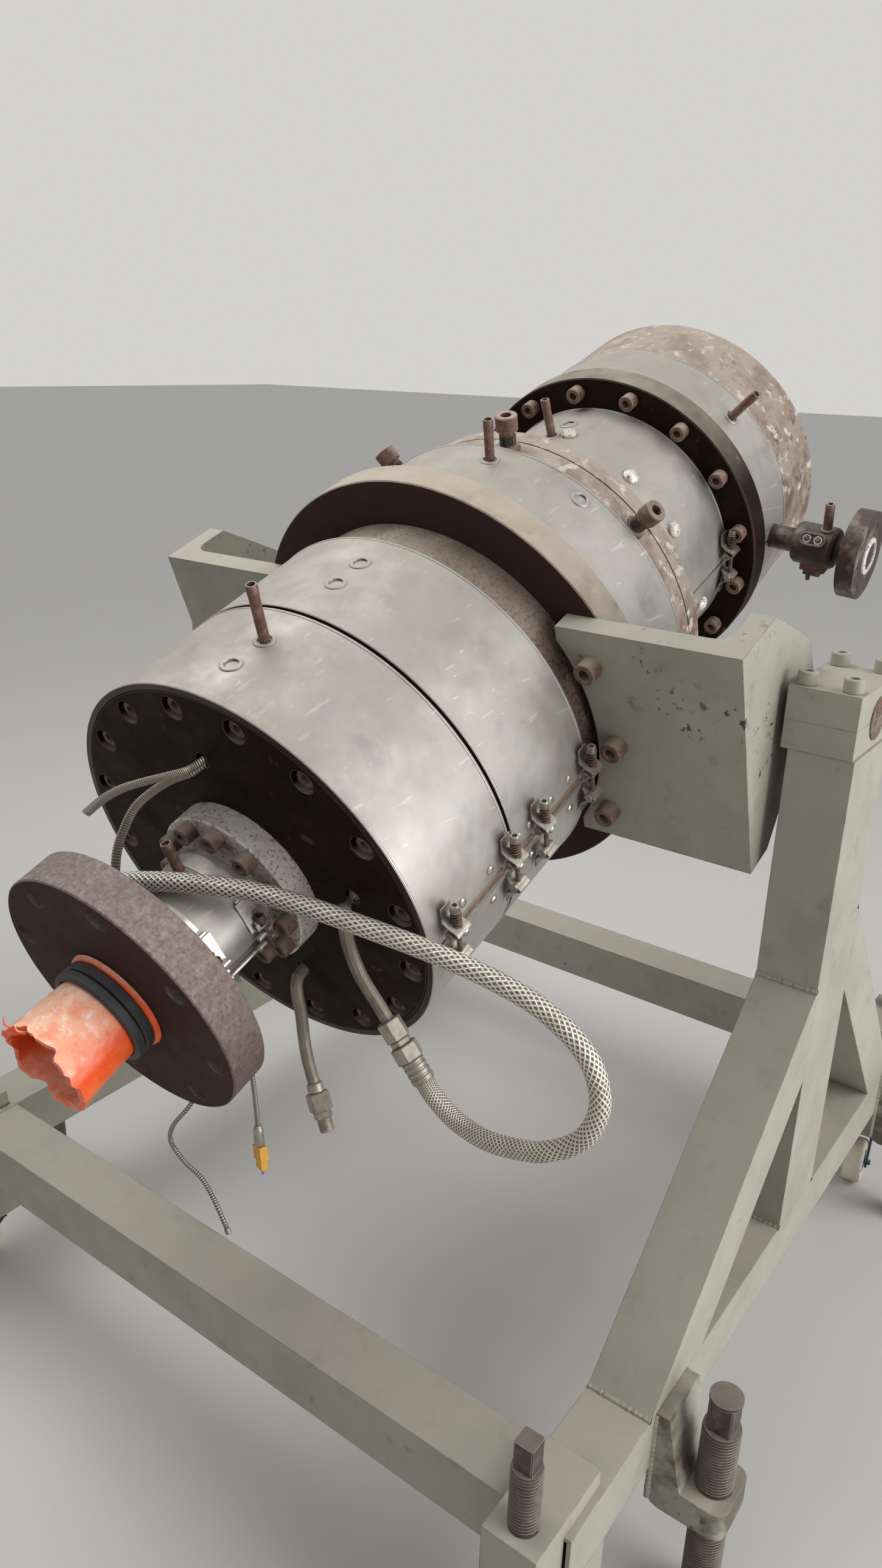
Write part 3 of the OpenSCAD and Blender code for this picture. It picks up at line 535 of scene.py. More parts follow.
def rubber(name, base):
    """Moulded black rubber, matt, with a film of grey dust."""
    return weathered(name, 0.55, 0.0, base, [
        ("#3d3e41", 60, 0.5, 0.15, 0.6), ("#5d5a54", 8, 0.08, 0.04, 0.6)],
        [(4, 0.1)], 1.0, (0.35, "#8d8a84", 0.3, 0.95))


def nylon():
    """Cast nylon wheel, cream, scuffed grey on its tread."""
    return weathered("cast_nylon", 0.45, 0.0, "#d9d3bd", [
        ("#bcb49c", 40, 0.45, 0.14, 0.7), ("#7c766a", 9, 0.14, 0.06, 0.6)], [(6, 0.1)], 1.0)


def plain_plastic(name, base, shade):
    """Moulded plastic of one colour with a little grime."""
    return weathered(name, 0.4, 0.0, base, [(shade, 8, 0.35, 0.12, 0.5)], [(2, 0.03)])


def woven(name, light, dark, across, along_count):
    """Round braid of bright wire: strands that cross on the hose, counted round and along it, painted light
    on their crowns as highlight and dark in the gaps as shade.
    """
    material, tree, shader, place = start_material(name, 0.42, 0.45)
    uv = add(tree, "ShaderNodeUVMap", uv_map="UVMap").outputs["UV"]
    bands = []
    for sign in (1, -1):
        u = calc(tree, "MULTIPLY", split(tree, uv, "X"), float(across))
        v = calc(tree, "MULTIPLY", split(tree, uv, "Y"), float(sign * along_count))
        bands.append(calc(tree, "PINGPONG", calc(tree, "ADD", u, v), 1.0))
    over = calc(tree, "MAXIMUM", *bands)
    relief = calc(tree, "MULTIPLY", over, calc(tree, "MINIMUM", *bands))
    # painted highlight and painted shade: light where a strand lies on top, dark in the gaps between strands
    colour = mixed(tree, dark, light, ranged(tree, over, 0.45, 0.95))
    grime = patches(tree, place.outputs["Object"], 30, 0.4, 0.12)
    colour = mixed(tree, colour, "#857b6b", calc(tree, "MULTIPLY", grime, 0.3))
    tree.links.new(colour, shader.inputs["Base Color"])
    bump = add(tree, "ShaderNodeBump", {"Height": over, "Strength": 1.0, "Distance": 0.9 * MM})
    second = add(tree, "ShaderNodeBump", {"Height": relief, "Strength": 0.6, "Distance": 0.6 * MM,
                                          "Normal": bump.outputs["Normal"]})
    tree.links.new(second.outputs["Normal"], shader.inputs["Normal"])
    return material


def ribbed_metal(name, light, dark, turns):
    """Spiral armour: interlocked strip that shows as close rings along the cable, painted light on the ridges
    as highlight and dark in the grooves as shade.
    """
    material, tree, shader, _ = start_material(name, 0.38, 0.8)
    uv = add(tree, "ShaderNodeUVMap", uv_map="UVMap").outputs["UV"]
    wave = calc(tree, "PINGPONG", calc(tree, "MULTIPLY", split(tree, uv, "Y"), float(turns)), 0.5)
    # painted highlight and painted shade: ridges of the rings light, grooves between them dark
    colour = mixed(tree, dark, light, ranged(tree, wave, 0.05, 0.4))
    tree.links.new(colour, shader.inputs["Base Color"])
    bump = add(tree, "ShaderNodeBump", {"Height": wave, "Strength": 1.0, "Distance": 1.2 * MM})
    tree.links.new(bump.outputs["Normal"], shader.inputs["Normal"])
    return material


MATERIALS = {}


def build_materials(look):
    """Makes every material once."""
    MATERIALS.update(
        frame=painted_steel("grey_green_machine_enamel", look.paint, 0.16),
        bracket=painted_steel("chipped_bracket_enamel", look.bracket_paint, 0.3),
        jack=painted_steel("oiled_bracket_enamel", look.bracket_paint, 0.3, 0.5),
        band=heater_sheet(),
        dark=oxidised_steel(),
        machined=machined_steel("turned_steel_browned", "#7d6c60", "#5b463a", 0.4, 0.4, 0.25),
        ring=patchy_steel(),
        pale=machined_steel("turned_steel_spotted", "#e6dfd8", "#cfc4ba", 0.36, 0.45, 0.3),
        flange=flange_steel("forged_flange_bloomed", "#857873", [
            ("#66524a", 6, 0.45, 0.09, 0.6), ("#a59a95", 7, 0.38, 0.09, 0.55),
            ("#63504b", 90, 0.3, 0.15, 0.4)], 0.08, 0.05),
        side=machined_steel("turned_steel_dark", "#4a3c37", "#352823", 0.3, 0.15),
        main=flange_steel("forged_flange_dusty", "#9c9184", [
            ("#7d6f62", 60, 0.4, 0.15, 0.6), ("#554437", 14, 0.12, 0.05, 0.6),
            ("#b9ae9f", 30, 0.4, 0.12, 0.6)], 0.04, 0.8),
        pipe=machined_steel("greased_steel_pipe", "#857c71", "#6a5a4b", 0.12, 0.4),
        screw=rusty_screw_steel(),
        bolt=bolt_steel(),
        clamp=bright_steel("zinc_plated_spring_steel", "#a49e94", "#6f6860", 0.18),
        nickel=bright_steel("nickel_plated_strap", "#c9c5bd", "#8f8b85", 0.06, 0.24),
        zinc=bright_steel("zinc_plated_fittings", "#aaa297", "#857c70", 0.12, 0.42),
        spring=rusted_spring(),
        film=polyethylene_film(),
        rubber=rubber("black_rubber", "#222326"),
        nylon=nylon(),
        fork=rubber("black_coated_fork", "#1e1e1f"),
        blue=plain_plastic("blue_hub_plastic", "#2f6fa8", "#24507c"),
        yellow=plain_plastic("yellow_plug_plastic", "#dba43c", "#b98530"),
        braid=woven("braided_stainless_wire", "#fbf6ea", "#6e6658", 24, 300),
        lead=ribbed_metal("flat_braided_lead", "#d4ccbf", "#857c71", 80),
        armour=ribbed_metal("spiral_steel_armour", "#b9b4aa", "#57524b", 110),
    )


class DieLook(bpy.types.PropertyGroup):
    """Colours that a user would change."""
    paint: bpy.props.StringProperty(
        name="Frame paint", description="sRGB hex colour of the trolley", default="#9f9d90")
    bracket_paint: bpy.props.StringProperty(
        name="Bracket paint", description="sRGB hex colour of the trunnion brackets", default="#99988a")


class DieSizes(bpy.types.PropertyGroup):
    """Sizes of the small pieces that a user would change."""
    hose: bpy.props.FloatProperty(
        name="Hose", description="Outer diameter of the braided hose", default=0.028, unit="LENGTH")
    cable: bpy.props.FloatProperty(
        name="Cable", description="Diameter of the armoured cables", default=0.008, unit="LENGTH")
    thread_pitch: bpy.props.FloatProperty(
        name="Thread pitch", description="Pitch of the large screws' threads", default=0.0055, unit="LENGTH")
    weld: bpy.props.FloatProperty(
        name="Weld bead", description="Width of the weld beads on the trolley", default=0.009, unit="LENGTH")


# Which finish each fixed solid takes
FINISHES = {
    "frame": ["side_beams", "cross_beams", "posts", "legs", "caster_legs", "bearing_bases", "bearing_caps",
              "corner_blocks"],
    "bracket": ["trunnion_brackets"],
    "jack": ["jack_brackets"],
    "screw": ["corner_screws", "jack_screws"],
    "film": ["inlet_sleeve"],
    "rubber": ["sleeve_rings"],
    "flange": ["inlet_flange"],
    "side": ["side_adapter"],
    "main": ["main_flange"],
    "pale": ["inlet_adapter"],
    "machined": ["die_body", "trunnion_shafts", "outlet_neck", "seam_strips", "mandrel"],
    "ring": ["centering_ring", "outlet_ring"],
    "band": ["neck_heater"] + [f"heater_band_{k}" for k in range(1, 6)],
    "dark": ["front_cover", "outlet_flange"],
    "pipe": ["cover_pipes"],
    "bolt": ["centering_screws", "thermocouples"],
    "clamp": ["seam_clamps", "cord_fittings"],
    "spring": ["clamp_springs"],
    "armour": ["armoured_cable_1", "armoured_cable_2"],
    "lead": ["flat_lead_1", "flat_lead_2"],
    "braid": ["braided_hose"],
}


class MESH_OT_die_finishes(bpy.types.Operator):
    """Gives every fixed solid its finish"""
    bl_idname = "mesh.die_finishes"
    bl_label = "Finishes"

    def execute(self, context):
        build_materials(context.scene.die_look)
        plan = {name: key for key, names in FINISHES.items() for name in names}
        for name, thing in NODES.items():
            key = plan.get(name) or ("fork" if name.startswith("fork") else "nylon")
            thing.data.materials.clear()
            thing.data.materials.append(MATERIALS[key])
            for polygon in thing.data.polygons:
                polygon.material_index = 0
        return {"FINISHED"}


# The camera that the photograph was taken from, found from the frame's straight edges: its place in
# metres with y from the trunnion axis, its turns in radians and its focal length
CAMERA_AT = Vector((1.1403, -1.711, 1.7485))
CAMERA_YAW = 0.6287
CAMERA_PITCH = -0.3621
CAMERA_ROLL = 0.0272
FOCAL_PX = 1882.05
PHOTO_H = 2576
SENSOR_H = 36


class SCENE_OT_die_camera(bpy.types.Operator):
    """Places the camera where the photograph was taken from"""
    bl_idname = "scene.die_camera"
    bl_label = "Camera"

    def execute(self, context):
        cy, sy = math.cos(CAMERA_YAW), math.sin(CAMERA_YAW)
        cp, sp = math.cos(CAMERA_PITCH), math.sin(CAMERA_PITCH)
        forward = Vector((-sy * cp, cy * cp, sp))
        right = Vector((cy, sy, 0))
        up = right.cross(forward)
        cr, sr = math.cos(CAMERA_ROLL), math.sin(CAMERA_ROLL)
        x_axis, y_axis = cr * right + sr * up, cr * up - sr * right
        data = bpy.data.cameras.new("camera")
        data.sensor_fit = "VERTICAL"
        data.sensor_height = SENSOR_H
        data.lens = FOCAL_PX / PHOTO_H * SENSOR_H
        camera = bpy.data.objects.new("camera", data)
        turn = Matrix((x_axis, y_axis, -forward)).transposed().to_4x4()
        camera.matrix_world = FLOOR @ Matrix.Translation(CAMERA_AT) @ turn
        context.scene.collection.objects.link(camera)
        context.scene.camera = camera
        return {"FINISHED"}


# Routes of the cords in the die's frame in millimetres: x, station, height
HOSE_ROUTE = [(-132, -846, -104), (-138, -846, -50), (-130, -845, 10), (-104, -842, 68), (-54, -832, 103),
              (0, -812, 110), (60, -786, 104), (125, -757, 90), (200, -735, 72), (285, -718, 52),
              (370, -703, 32), (455, -694, 12), (530, -692, -14), (590, -702, -56), (614, -724, -110),
              (596, -748, -164), (545, -764, -206), (497, -768, -228), (450, -768, -242.5), (412, -765, -244),
              (381, -761.5, -234), (353.9, -756.8, -210), (340.3, -752, -193.4)]
CABLE_1_ROUTE = [(-30, -800, -85), (-34, -806, -150), (-52, -822, -230), (-72, -842, -308),
                 (-98, -870, -376), (-138, -898, -428), (-152, -910, -468), (-124, -918, -496),
                 (-84, -922, -514), (-54, -934, -544), (-26, -950, -580)]
CABLE_2_ROUTE = [(26, -790, -86), (28, -794, -150), (36, -810, -220), (46, -834, -290), (54, -860, -352)]
LEAD_1_ROUTE = [(-7, -641.3, 210), (-9, -684, 210), (-34, -706, 206), (-68, -722, 198), (-108, -740, 186),
                (-146, -754, 166), (-190, -766, 134)]
LEAD_2_ROUTE = [(-8, -641.3, 203), (-14, -684, 201), (-54, -698, 184), (-82, -716, 168), (-104, -736, 150),
                (-122, -756, 120), (-146, -772, 76), (-160, -790, 20), (-166, -806, -40)]
CORD_STEPS = 8
LEAD_W = 14
LEAD_T = 5.2
# Routes of the two pipes that leave the cover
DRAIN_ROUTE = [(42, -641.3, -192), (42, -682, -194), (48, -700, -216), (56, -712, -246), (60, -726, -284),
               (72, -743, -316), (88, -758, -344)]
FEED_ROUTE = [(212, -641.3, 32), (212, -684, 30), (215, -698, 4), (220, -706, -30), (236, -716, -66),
              (261.9, -724.5, -98), (280.5, -731, -120.6)]


def end_frame(route, first=False):
    """Frame on an end of a route, Z pointing out of it."""
    a, b = (route[1], route[0]) if first else (route[-2], route[-1])
    out = die_point(*b) - die_point(*a)
    return Matrix.Translation(die_point(*b)) @ out.to_track_quat("Z", "X").to_matrix().to_4x4()


def swivel_nut(shape, at, flats, low, high):
    """Hexagon nut with chamfered corners."""
    r, corner, chamfer = flats / 2, flats / 2 * 1.1, 1.5
    shape.lathe([(0, low), (r, low), (corner, low + chamfer), (corner, high - chamfer), (r, high), (0, high)],
                at, 6)


def ferrule(shape, at, radius, length):
    """Crimped ferrule with its rolled grooves."""
    profile = [(0, -2), (radius - 1.5, -2), (radius, 0)]
    groove = 6
    while groove < length - 8:
        profile += [(radius, groove), (radius - 1.4, groove + 1.5), (radius - 1.4, groove + 3),
                    (radius, groove + 4.5)]
        groove += 9
    profile += [(radius, length - 1.5), (radius - 2, length), (0, length)]
    shape.lathe(profile, at, 28)


def thread_rings(shape, at, radius, low, high, pitch):
    """Screwed end drawn as close turned grooves."""
    profile = [(0, low)]
    z = low
    while z < high - pitch:
        profile += [(radius - 1.0, z), (radius, z + pitch * 0.35), (radius, z + pitch * 0.6)]
        z += pitch
    profile += [(radius - 1.4, high), (0, high)]
    shape.lathe(profile, at, 24)


def make_cord(name, route, section, material, side=None):
    """Tube along a smooth route on the die, in place of a packed cord."""
    points = smooth_route([die_point(*p) for p in route], CORD_STEPS)
    shape = Shape()
    shape.sweep(points, section, side=side)
    cord = shape.piece(name + "_cord", MATERIALS[material], "die", smooth=180)
    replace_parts(cord, name)


class MESH_OT_die_cords(bpy.types.Operator):
    """Makes the braided hose, the armoured cables and the flat leads with their ends"""
    bl_idname = "mesh.die_cords"
    bl_label = "Cords"

    def execute(self, context):
        sizes = context.scene.die_sizes
        hose_end, hose_start = Shape(), Shape()
        at = end_frame(HOSE_ROUTE)
        ferrule(hose_end, at, 17, 33)
        swivel_nut(hose_end, at, 38, 33, 57)
        swivel_nut(hose_end, at, 29, 57, 66)
        right = hose_end.piece("hose_end_right", MATERIALS["zinc"], "die", "clamp_steel")
        at = end_frame(HOSE_ROUTE, first=True)
        ferrule(hose_start, at, 17, 44)
        swivel_nut(hose_start, at, 41, 44, 70)
        left = hose_start.piece("hose_end_left", MATERIALS["zinc"], "die", "clamp_steel")
        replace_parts(right, "cord_fittings")
        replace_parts(left, "cord_fittings")
        make_cord("braided_hose", HOSE_ROUTE, circle(sizes.hose / MM / 2, 24), "braid")

        nuts = Shape()
        at = end_frame(FEED_ROUTE)
        swivel_nut(nuts, at, 34, 0, 30)
        at = end_frame(DRAIN_ROUTE)
        nuts.lathe([(0, 0), (11, 0), (13, 2), (13, 15), (11, 16), (0, 16)], at, 24)
        swivel_nut(nuts, at, 34, 16, 46)
        swivel_nut(nuts, at, 27, 46, 58)
        thread_rings(nuts, at, 12, 58, 80, 2.6)
        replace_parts(nuts.piece("pipe_nuts", MATERIALS["zinc"], "die", "clamp_steel"), "cord_fittings")

        tip = Shape()
        tip.lathe([(0, -1), (4.6, -1), (5, 0), (5, 7), (3.6, 8), (0, 8)], end_frame(CABLE_1_ROUTE), 18)
        tip = tip.piece("cable_tip", MATERIALS["zinc"], "die", "clamp_steel")
        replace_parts(tip, "cord_fittings")
        sleeve, block = Shape(), Shape()
        at = end_frame(CABLE_2_ROUTE)
        sleeve.lathe([(0, -1), (5, -1), (7, 3), (8, 8), (8, 31), (7, 34), (0, 34)], at, 24)
        sleeve.lathe([(0, 70), (2.5, 70), (2.5, 84), (1.5, 86), (0, 86)], at, 12)
        sleeve = sleeve.piece("plug_sleeve", MATERIALS["zinc"], "die", "clamp_steel")
        block.box((-11, -7, 34), (11, 7, 60), at, 1.2)
        block.box((-8.5, -5.5, 60), (8.5, 5.5, 76), at, 1.0)
        for x in (-6, 6):
            block.box((x - 1.5, -7.6, 38), (x + 1.5, 7.6, 56), at, 0.5)
        block = block.piece("plug_block", MATERIALS["yellow"], "die", "clamp_steel")
        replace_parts(sleeve, "cord_fittings")
        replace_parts(block, "cord_fittings")
        radius = sizes.cable / MM / 2
        make_cord("armoured_cable_1", CABLE_1_ROUTE, circle(radius), "armour")
        make_cord("armoured_cable_2", CABLE_2_ROUTE, circle(radius), "armour")
        for name, route in (("flat_lead_1", LEAD_1_ROUTE), ("flat_lead_2", LEAD_2_ROUTE)):
            make_cord(name, route, oval(LEAD_W / 2, LEAD_T / 2, 12), "lead",
                      side=(0, 0.2, 1))
        return {"FINISHED"}


def socket_screw(shape, at, head_d, head_h, key):
    """Cap screw: turned head with a hexagon socket."""
    r = head_d / 2
    hole = key / 2 * 1.1
    shape.lathe([(0, 0), (r - 0.6, 0), (r, 0.8), (r, head_h - 1.6), (r - 1.4, head_h), (hole, head_h),
                 (hole, head_h * 0.45), (0, head_h * 0.45)], at, 24)


# Sensor tubes: turn, station, radius that they start from and reach
SENSORS = ((6, -528, 324, 422), (7.9, 29, 340, 418), (-3.9, 316, 250, 328), (47.7, 562, 298, 376),
           (-5, -768, 89.6, 139.5))


class MESH_OT_die_bolts(bpy.types.Operator):
    """Sets the cap screws of the flanges, brackets and bearing caps, and the sensor tubes"""
    bl_idname = "mesh.die_bolts"
    bl_label = "Bolts"

    def execute(self, context):
        shape = Shape()
        for side in (1, -1):
            for turn in (67.5, 90, 112.5):
                socket_screw(shape, along(side * turn, BRACKET_FRONT_S, 366), 36, 27, 17)
        for k in range(12):
            socket_screw(shape, along(9.5 + 30 * k, ADAPTER_S, 112), 30, 22, 14)
        for k in range(16):
            socket_screw(shape, along(16.8 + 22.5 * k, COVER_S + 22, 295), 30, 16, 14)
        for k in range(16):
            socket_screw(shape, along(-6.4 + 22.5 * k, OUTLET_S, 289), 30, 22, 14)
        shape.piece("flange_screws", MATERIALS["bolt"], "die", "rusty_steel")
        buttons = Shape()
        for turn, s in ((3.2, 325), (37.5, 285), (64.7, 286), (106.9, 348)):
            buttons.lathe([(0, 0), (15, 0), (15, 4), (11, 9), (5, 11), (0, 11)], around(turn, s, BAND4_R), 24)
        buttons.piece("band_buttons", MATERIALS["pale"], "die", "rusty_steel")

        caps = Shape()
        for side in (1, -1):
            for y in (-73, 73):
                for x in (-34, 34):
                    socket_screw(caps, FLOOR @ shift(side * BEARING_X + x, y, BEARING_TOP), 30, 21, 14)
        caps.piece("bearing_cap_screws", MATERIALS["frame"], "trolley", "frame_paint")

        centring = Shape()
        for k in range(8):
            at = around(6 + 45 * k, 102, RING_R)
            centring.lathe([(0, -1), (21, -1), (21, 5), (19, 8), (14, 8), (14, 26)] + [
                (14 - 1.2 * (j % 2), 10 + 2.2 * j) for j in range(8)] + [(14, 34), (0, 34)], at, 24)
            socket_screw(centring, at @ shift(0, 0, 34), 38, 26, 17)
        centring = centring.piece("centring_screws", MATERIALS["bolt"], "die", "rusty_steel")
        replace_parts(centring, "centering_screws")

        tubes = Shape()
        for turn, s, low, high in SENSORS:
            tubes.lathe([(0, low), (8, low), (8, high - 17), (8.5, high - 16), (8.5, high - 1), (7.8, high),
                         (6, high), (5.5, high - 12), (0, high - 12)], around(turn, s, 0), 24)
        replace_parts(tubes.piece("sensor_tubes", MATERIALS["bolt"], "die", "rusty_steel"), "thermocouples")
        return {"FINISHED"}


def thread(shape, at, radius, low, high, pitch):
    """Ridge of a screw thread wound round a shank, in millimetres."""
    turns = (high - low) / pitch
    points = helix(radius, pitch, turns, low, 24)
    section = [(-pitch * 0.42, -1.2), (0, 1.1), (pitch * 0.42, -1.2)]
    rows = []
    for point in points:
        out = Vector((point.x, point.y, 0)).normalized()
        rows.append([point + out * (b * MM) + Vector((0, 0, a * MM)) for a, b in section])
    shape.rings(rows, at)


class MESH_OT_die_threads(bpy.types.Operator):
    """Winds the threads on the jack and corner screws"""
    bl_idname = "mesh.die_threads"
    bl_label = "Threads"

    def execute(self, context):
        pitch = context.scene.die_sizes.thread_pitch / MM
        shape = Shape()
        for side in (1, -1):
            for y in JACK_Y:
                place = FLOOR @ shift(side * JACK_X, y, 0)
                thread(shape, place, 27, 4, 186, pitch)
                thread(shape, place, 27, 240, 347, pitch)
            for y in CORNER_Y:
                place = FLOOR @ shift(side * SIDE_X, y, 0)
                thread(shape, place, 20, 121, 257, pitch)
                thread(shape, place, 20, 393, 488, pitch)
        shape.piece("screw_threads", MATERIALS["screw"], "trolley", "rust_screw", smooth=60)
        return {"FINISHED"}


# Weld seams on a side beam in the order they are laid: posts and legs (y, height), corner blocks and
# jack brackets (y)
LEG_SEAMS = ((-92, BEAM_TOP), (68, BEAM_TOP), (-92, 822), (68, 911), (-571, BEAM_TOP), (520, BEAM_TOP))
BLOCK_SEAMS = (-788, 682, -698, 592)
JACK_SEAMS = (-553, -455, 486, 584)
JACK_SEAM_LOW = 200


def weld_bead(shape, start, end, width, seed):
    """Rippled bead of weld along a joint, in millimetres in the floor frame."""
    a, b = Vector(start), Vector(end)
    count = max(4, int((b - a).length / 3.0))
    dice = random.Random(seed)
    rows = []
    direction = (b - a).normalized()
    across = direction.orthogonal().normalized()
    up = direction.cross(across)
    for i in range(count + 1):
        swell = width / 2 * (1 + 0.16 * math.sin(i * 2.1) + dice.uniform(-0.1, 0.1))
        point = a.lerp(b, i / count)
        rows.append([(point + across * (swell * math.cos(t)) + up * (swell * math.sin(t))) * MM
                     for t in (math.pi * 2 * k / 8 for k in range(8))])
    shape.rings(rows, FLOOR)


class MESH_OT_die_welds(bpy.types.Operator):
    """Lays the weld beads on the trolley"""
    bl_idname = "mesh.die_welds"
    bl_label = "Welds"

    def execute(self, context):
        width = context.scene.die_sizes.weld / MM
        shape = Shape()
        seed = 1
        for side in (1, -1):
            inner, outer = side * (SIDE_X - TUBE / 2), side * (SIDE_X + TUBE / 2)
            low, high = side * (SIDE_X - BLOCK_W / 2), side * (SIDE_X + BLOCK_W / 2)
            lines = [((inner, y, z), (outer, y, z)) for y, z in LEG_SEAMS]
            lines += [((inner, y, BEAM_TOP), (inner, y + TUBE, BEAM_TOP)) for y in (FRONT_Y, REAR_Y)]
            lines += [((inner, y, BEAM_LOW + 2), (inner, y, BEAM_TOP - 2)) for y in (FRONT_Y + TUBE, REAR_Y)]
            lines += [((low, y, BEAM_TOP), (high, y, BEAM_TOP)) for y in BLOCK_SEAMS]
            lines += [((outer, y, BEAM_TOP - 2), (outer, y, JACK_SEAM_LOW)) for y in JACK_SEAMS]
            lines += [((inner, y, BEAM_LOW), (outer, y, BEAM_LOW)) for y in (FRONT_Y, REAR_Y + TUBE)]
            for start, end in lines:
                seed += 1
                weld_bead(shape, start, end, width, seed)
        shape.piece("weld_beads", MATERIALS["frame"], "trolley", "frame_paint")
        return {"FINISHED"}


# Rolled rims of the heater bands (station, radius) and their rimmed holes (turn, station, radius)
BAND_RIMS = ((-663, BAND_R), (-459, BAND_R), (-447, BAND_R), (-240, BAND_R), (-95, BAND3_R), (72, BAND3_R),
             (168, BAND4_R), (445, BAND4_R), (503, BAND5_R), (615, BAND5_R))
BAND_HOLES = ((5.3, -592, BAND_R), (6, -528, BAND_R), (5.6, -367, BAND_R), (5.3, -306, BAND_R),
              (7.9, 29, BAND3_R), (35.6, 43, BAND3_R), (-3.9, 316, BAND4_R), (-2.7, 371, BAND4_R),
              (47.7, 562, BAND5_R))
HOLE_RIM = ((10.4, -1.5), (17, -1.5), (17, 0.8), (15.5, 2.0), (11.4, 2.0), (10.4, 0.8), (10.4, -1.5))


class MESH_OT_die_trim(bpy.types.Operator):
    """Adds the band rims, hole rings, rivets and hub rings"""
    bl_idname = "mesh.die_trim"
    bl_label = "Trim"

    def execute(self, context):
        rims = Shape()
        for s, r in BAND_RIMS:
            ring = [(r + 0.1 + 1.1 * math.sin(math.radians(a)), s + 2.2 * math.cos(math.radians(a)))
                    for a in range(0, 360, 45)]
            gap = math.degrees(5 / r)
            steps = 120
            rows = []
            for k in range(steps + 1):
                turn = math.radians(SEAM_TURN + gap + (360 - 2 * gap) * k / steps)
                rows.append([ring_point(q, turn, station) for q, station in ring])
            rims.rings(rows, DIE)
        for turn, s, r in BAND_HOLES:
            rims.lathe(HOLE_RIM, around(turn, s, r), 28)
        rims.piece("band_rims", MATERIALS["band"], "die", "band_steel")

        lugs = Shape()
        for s in (-583, -512, -435, -405, -345, -292):
            for offset in (-5.2, 5.2):
                lugs.lathe([(0, -2), (7.5, -2), (7.5, 2.2), (5.5, 4.2), (0, 4.8)],
                           around(SEAM_TURN + offset, s, BAND_R), 16)
        lugs.piece("band_rivets", MATERIALS["nickel"], "die", "clamp_steel")

        channel, lips = Shape(), Shape()
        for a, b in ((-612, -484), (-460, -403), (-379, -263)):
            at = around(SEAM_TURN, (a + b) / 2, BAND_R)
            half = (b - a) / 2
            channel.box((-11, -half, -1), (-1.5, half, 3.2), at, 1.2)
            channel.box((-11, -half, -1), (11, half, 0.8), at)
            for x in (0, 5):
                lips.box((x, -half, -1), (x + 2, half, 4.4), at, 0.6)
        for shape, name, finish in ((channel, "seam_channels", "bolt"), (lips, "seam_lips", "band")):
            piece = shape.piece(name, MATERIALS[finish], "die", "rusty_steel")
            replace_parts(piece, "seam_strips")

        for name in ("front_right", "front_left", "rear_right", "rear_left"):
            wheel = JOINTS["roll_" + name]
            centre, axis = Vector(wheel["pos_m"]), Vector(wheel["axis"])
            turn = axis.to_track_quat("Z", "Y").to_matrix().to_4x4()
            hub = Shape()
            for side in (0, 1):
                hub.lathe([(12, 19), (24, 17), (28, 17), (28, 19.4), (25, 20.8), (12, 21.6), (12, 19)],
                          Matrix.Translation(centre) @ turn @ spin(180 * side, "X"), 32)
            hub.piece("hub_rings_" + name, MATERIALS["blue"], "wheel_" + name, "nylon_white")
        return {"FINISHED"}


class MESH_OT_die_sleeve(bpy.types.Operator):
    """Tears the orange sleeve over the inlet and flares it behind the rubber rings"""
    bl_idname = "mesh.die_sleeve"
    bl_label = "Torn sleeve"

    def execute(self, context):
        steps, rows_along = 144, 30
        wall = 4.0
        outer, inner = [], []
        for i in range(rows_along + 1):
            share = i / rows_along
            ring_out, ring_in = [], []
            for k in range(steps):
                turn = 2 * math.pi * k / steps
                round_point = Vector((math.cos(turn), math.sin(turn), 0))
                torn = noise.fractal(round_point * 1.3 + Vector((4, 1, 2)), 1.1, 2.0, 4)
                nick = max(0.0, noise.noise(round_point * 4.5 + Vector((2, 5, 1))) - 0.1)
                length = 131 + 9 * torn - 13 * nick + 1.5 * noise.noise(round_point * 7)
                s = INLET_S - min(length, 139.5) * share
                dent = 3.0 * noise.noise(Vector((math.cos(turn) * 1.6, math.sin(turn) * 1.6, share * 2.5)))
                lip = max(0.0, share - 0.75) / 0.25
                r = 65 + dent * share + 5 * share + 3 * lip ** 2
                r += 5 * lip * noise.noise(round_point * 2.2 + Vector((0, 0, 3)))
                ring_out.append(ring_point(r, turn, s))
                thin = wall + 9 * lip * (0.7 + noise.noise(round_point * 2.2 + Vector((7, 0, 0))))
                ring_in.append(ring_point(r - thin, turn, s))
            outer.append(ring_out)
            inner.append(ring_in)
        shape = Shape()
        shape.rings(outer + list(reversed(inner)), DIE, loop=True)
        profile = [(60, -0.2), (79, -0.2), (81, -2), (80, -6), (76, -9), (70, -9.5), (60, -9)]
        shape.lathe(profile + profile[:1], around(0, INLET_S, 0) @ spin(-90, "X"), 72)
        for turn, reach, lean in ((-34, 30, 10), (-8, 16, -8), (66, 12, 5)):
            rows = []
            for i in range(7):
                share = i / 6
                width = 15 * (1 - share) ** 1.3 + 0.8
                up = 62 + reach * share * 0.8
                s = INLET_S - 118 - 12 * math.sin(share * 2.4)
                side = lean * share ** 2
                low, high = side - width / 2, side + width / 2
                rows.append([(x * MM, y * MM, up * MM) for x, y in (
                    (low, s - 0.8), (high, s - 0.8), (high, s + 0.8), (low, s + 0.8))])
            shape.rings(rows, around(turn, 0, 0))
        sleeve = shape.piece("torn_sleeve", MATERIALS["film"], "die", "orange_plastic", smooth=60)
        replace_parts(sleeve, "inlet_sleeve")
        return {"FINISHED"}


def arc_strap(shape, start, sweep, count, section):
    """Strap bent round the die's axis from a turn over some degrees, its section in (radius, station)."""
    rows = []
    for k in range(count + 1):
        turn = math.radians(start + sweep * k / count)
        rows.append([ring_point(r, turn, s) for r, s in section])
    shape.rings(rows, DIE)


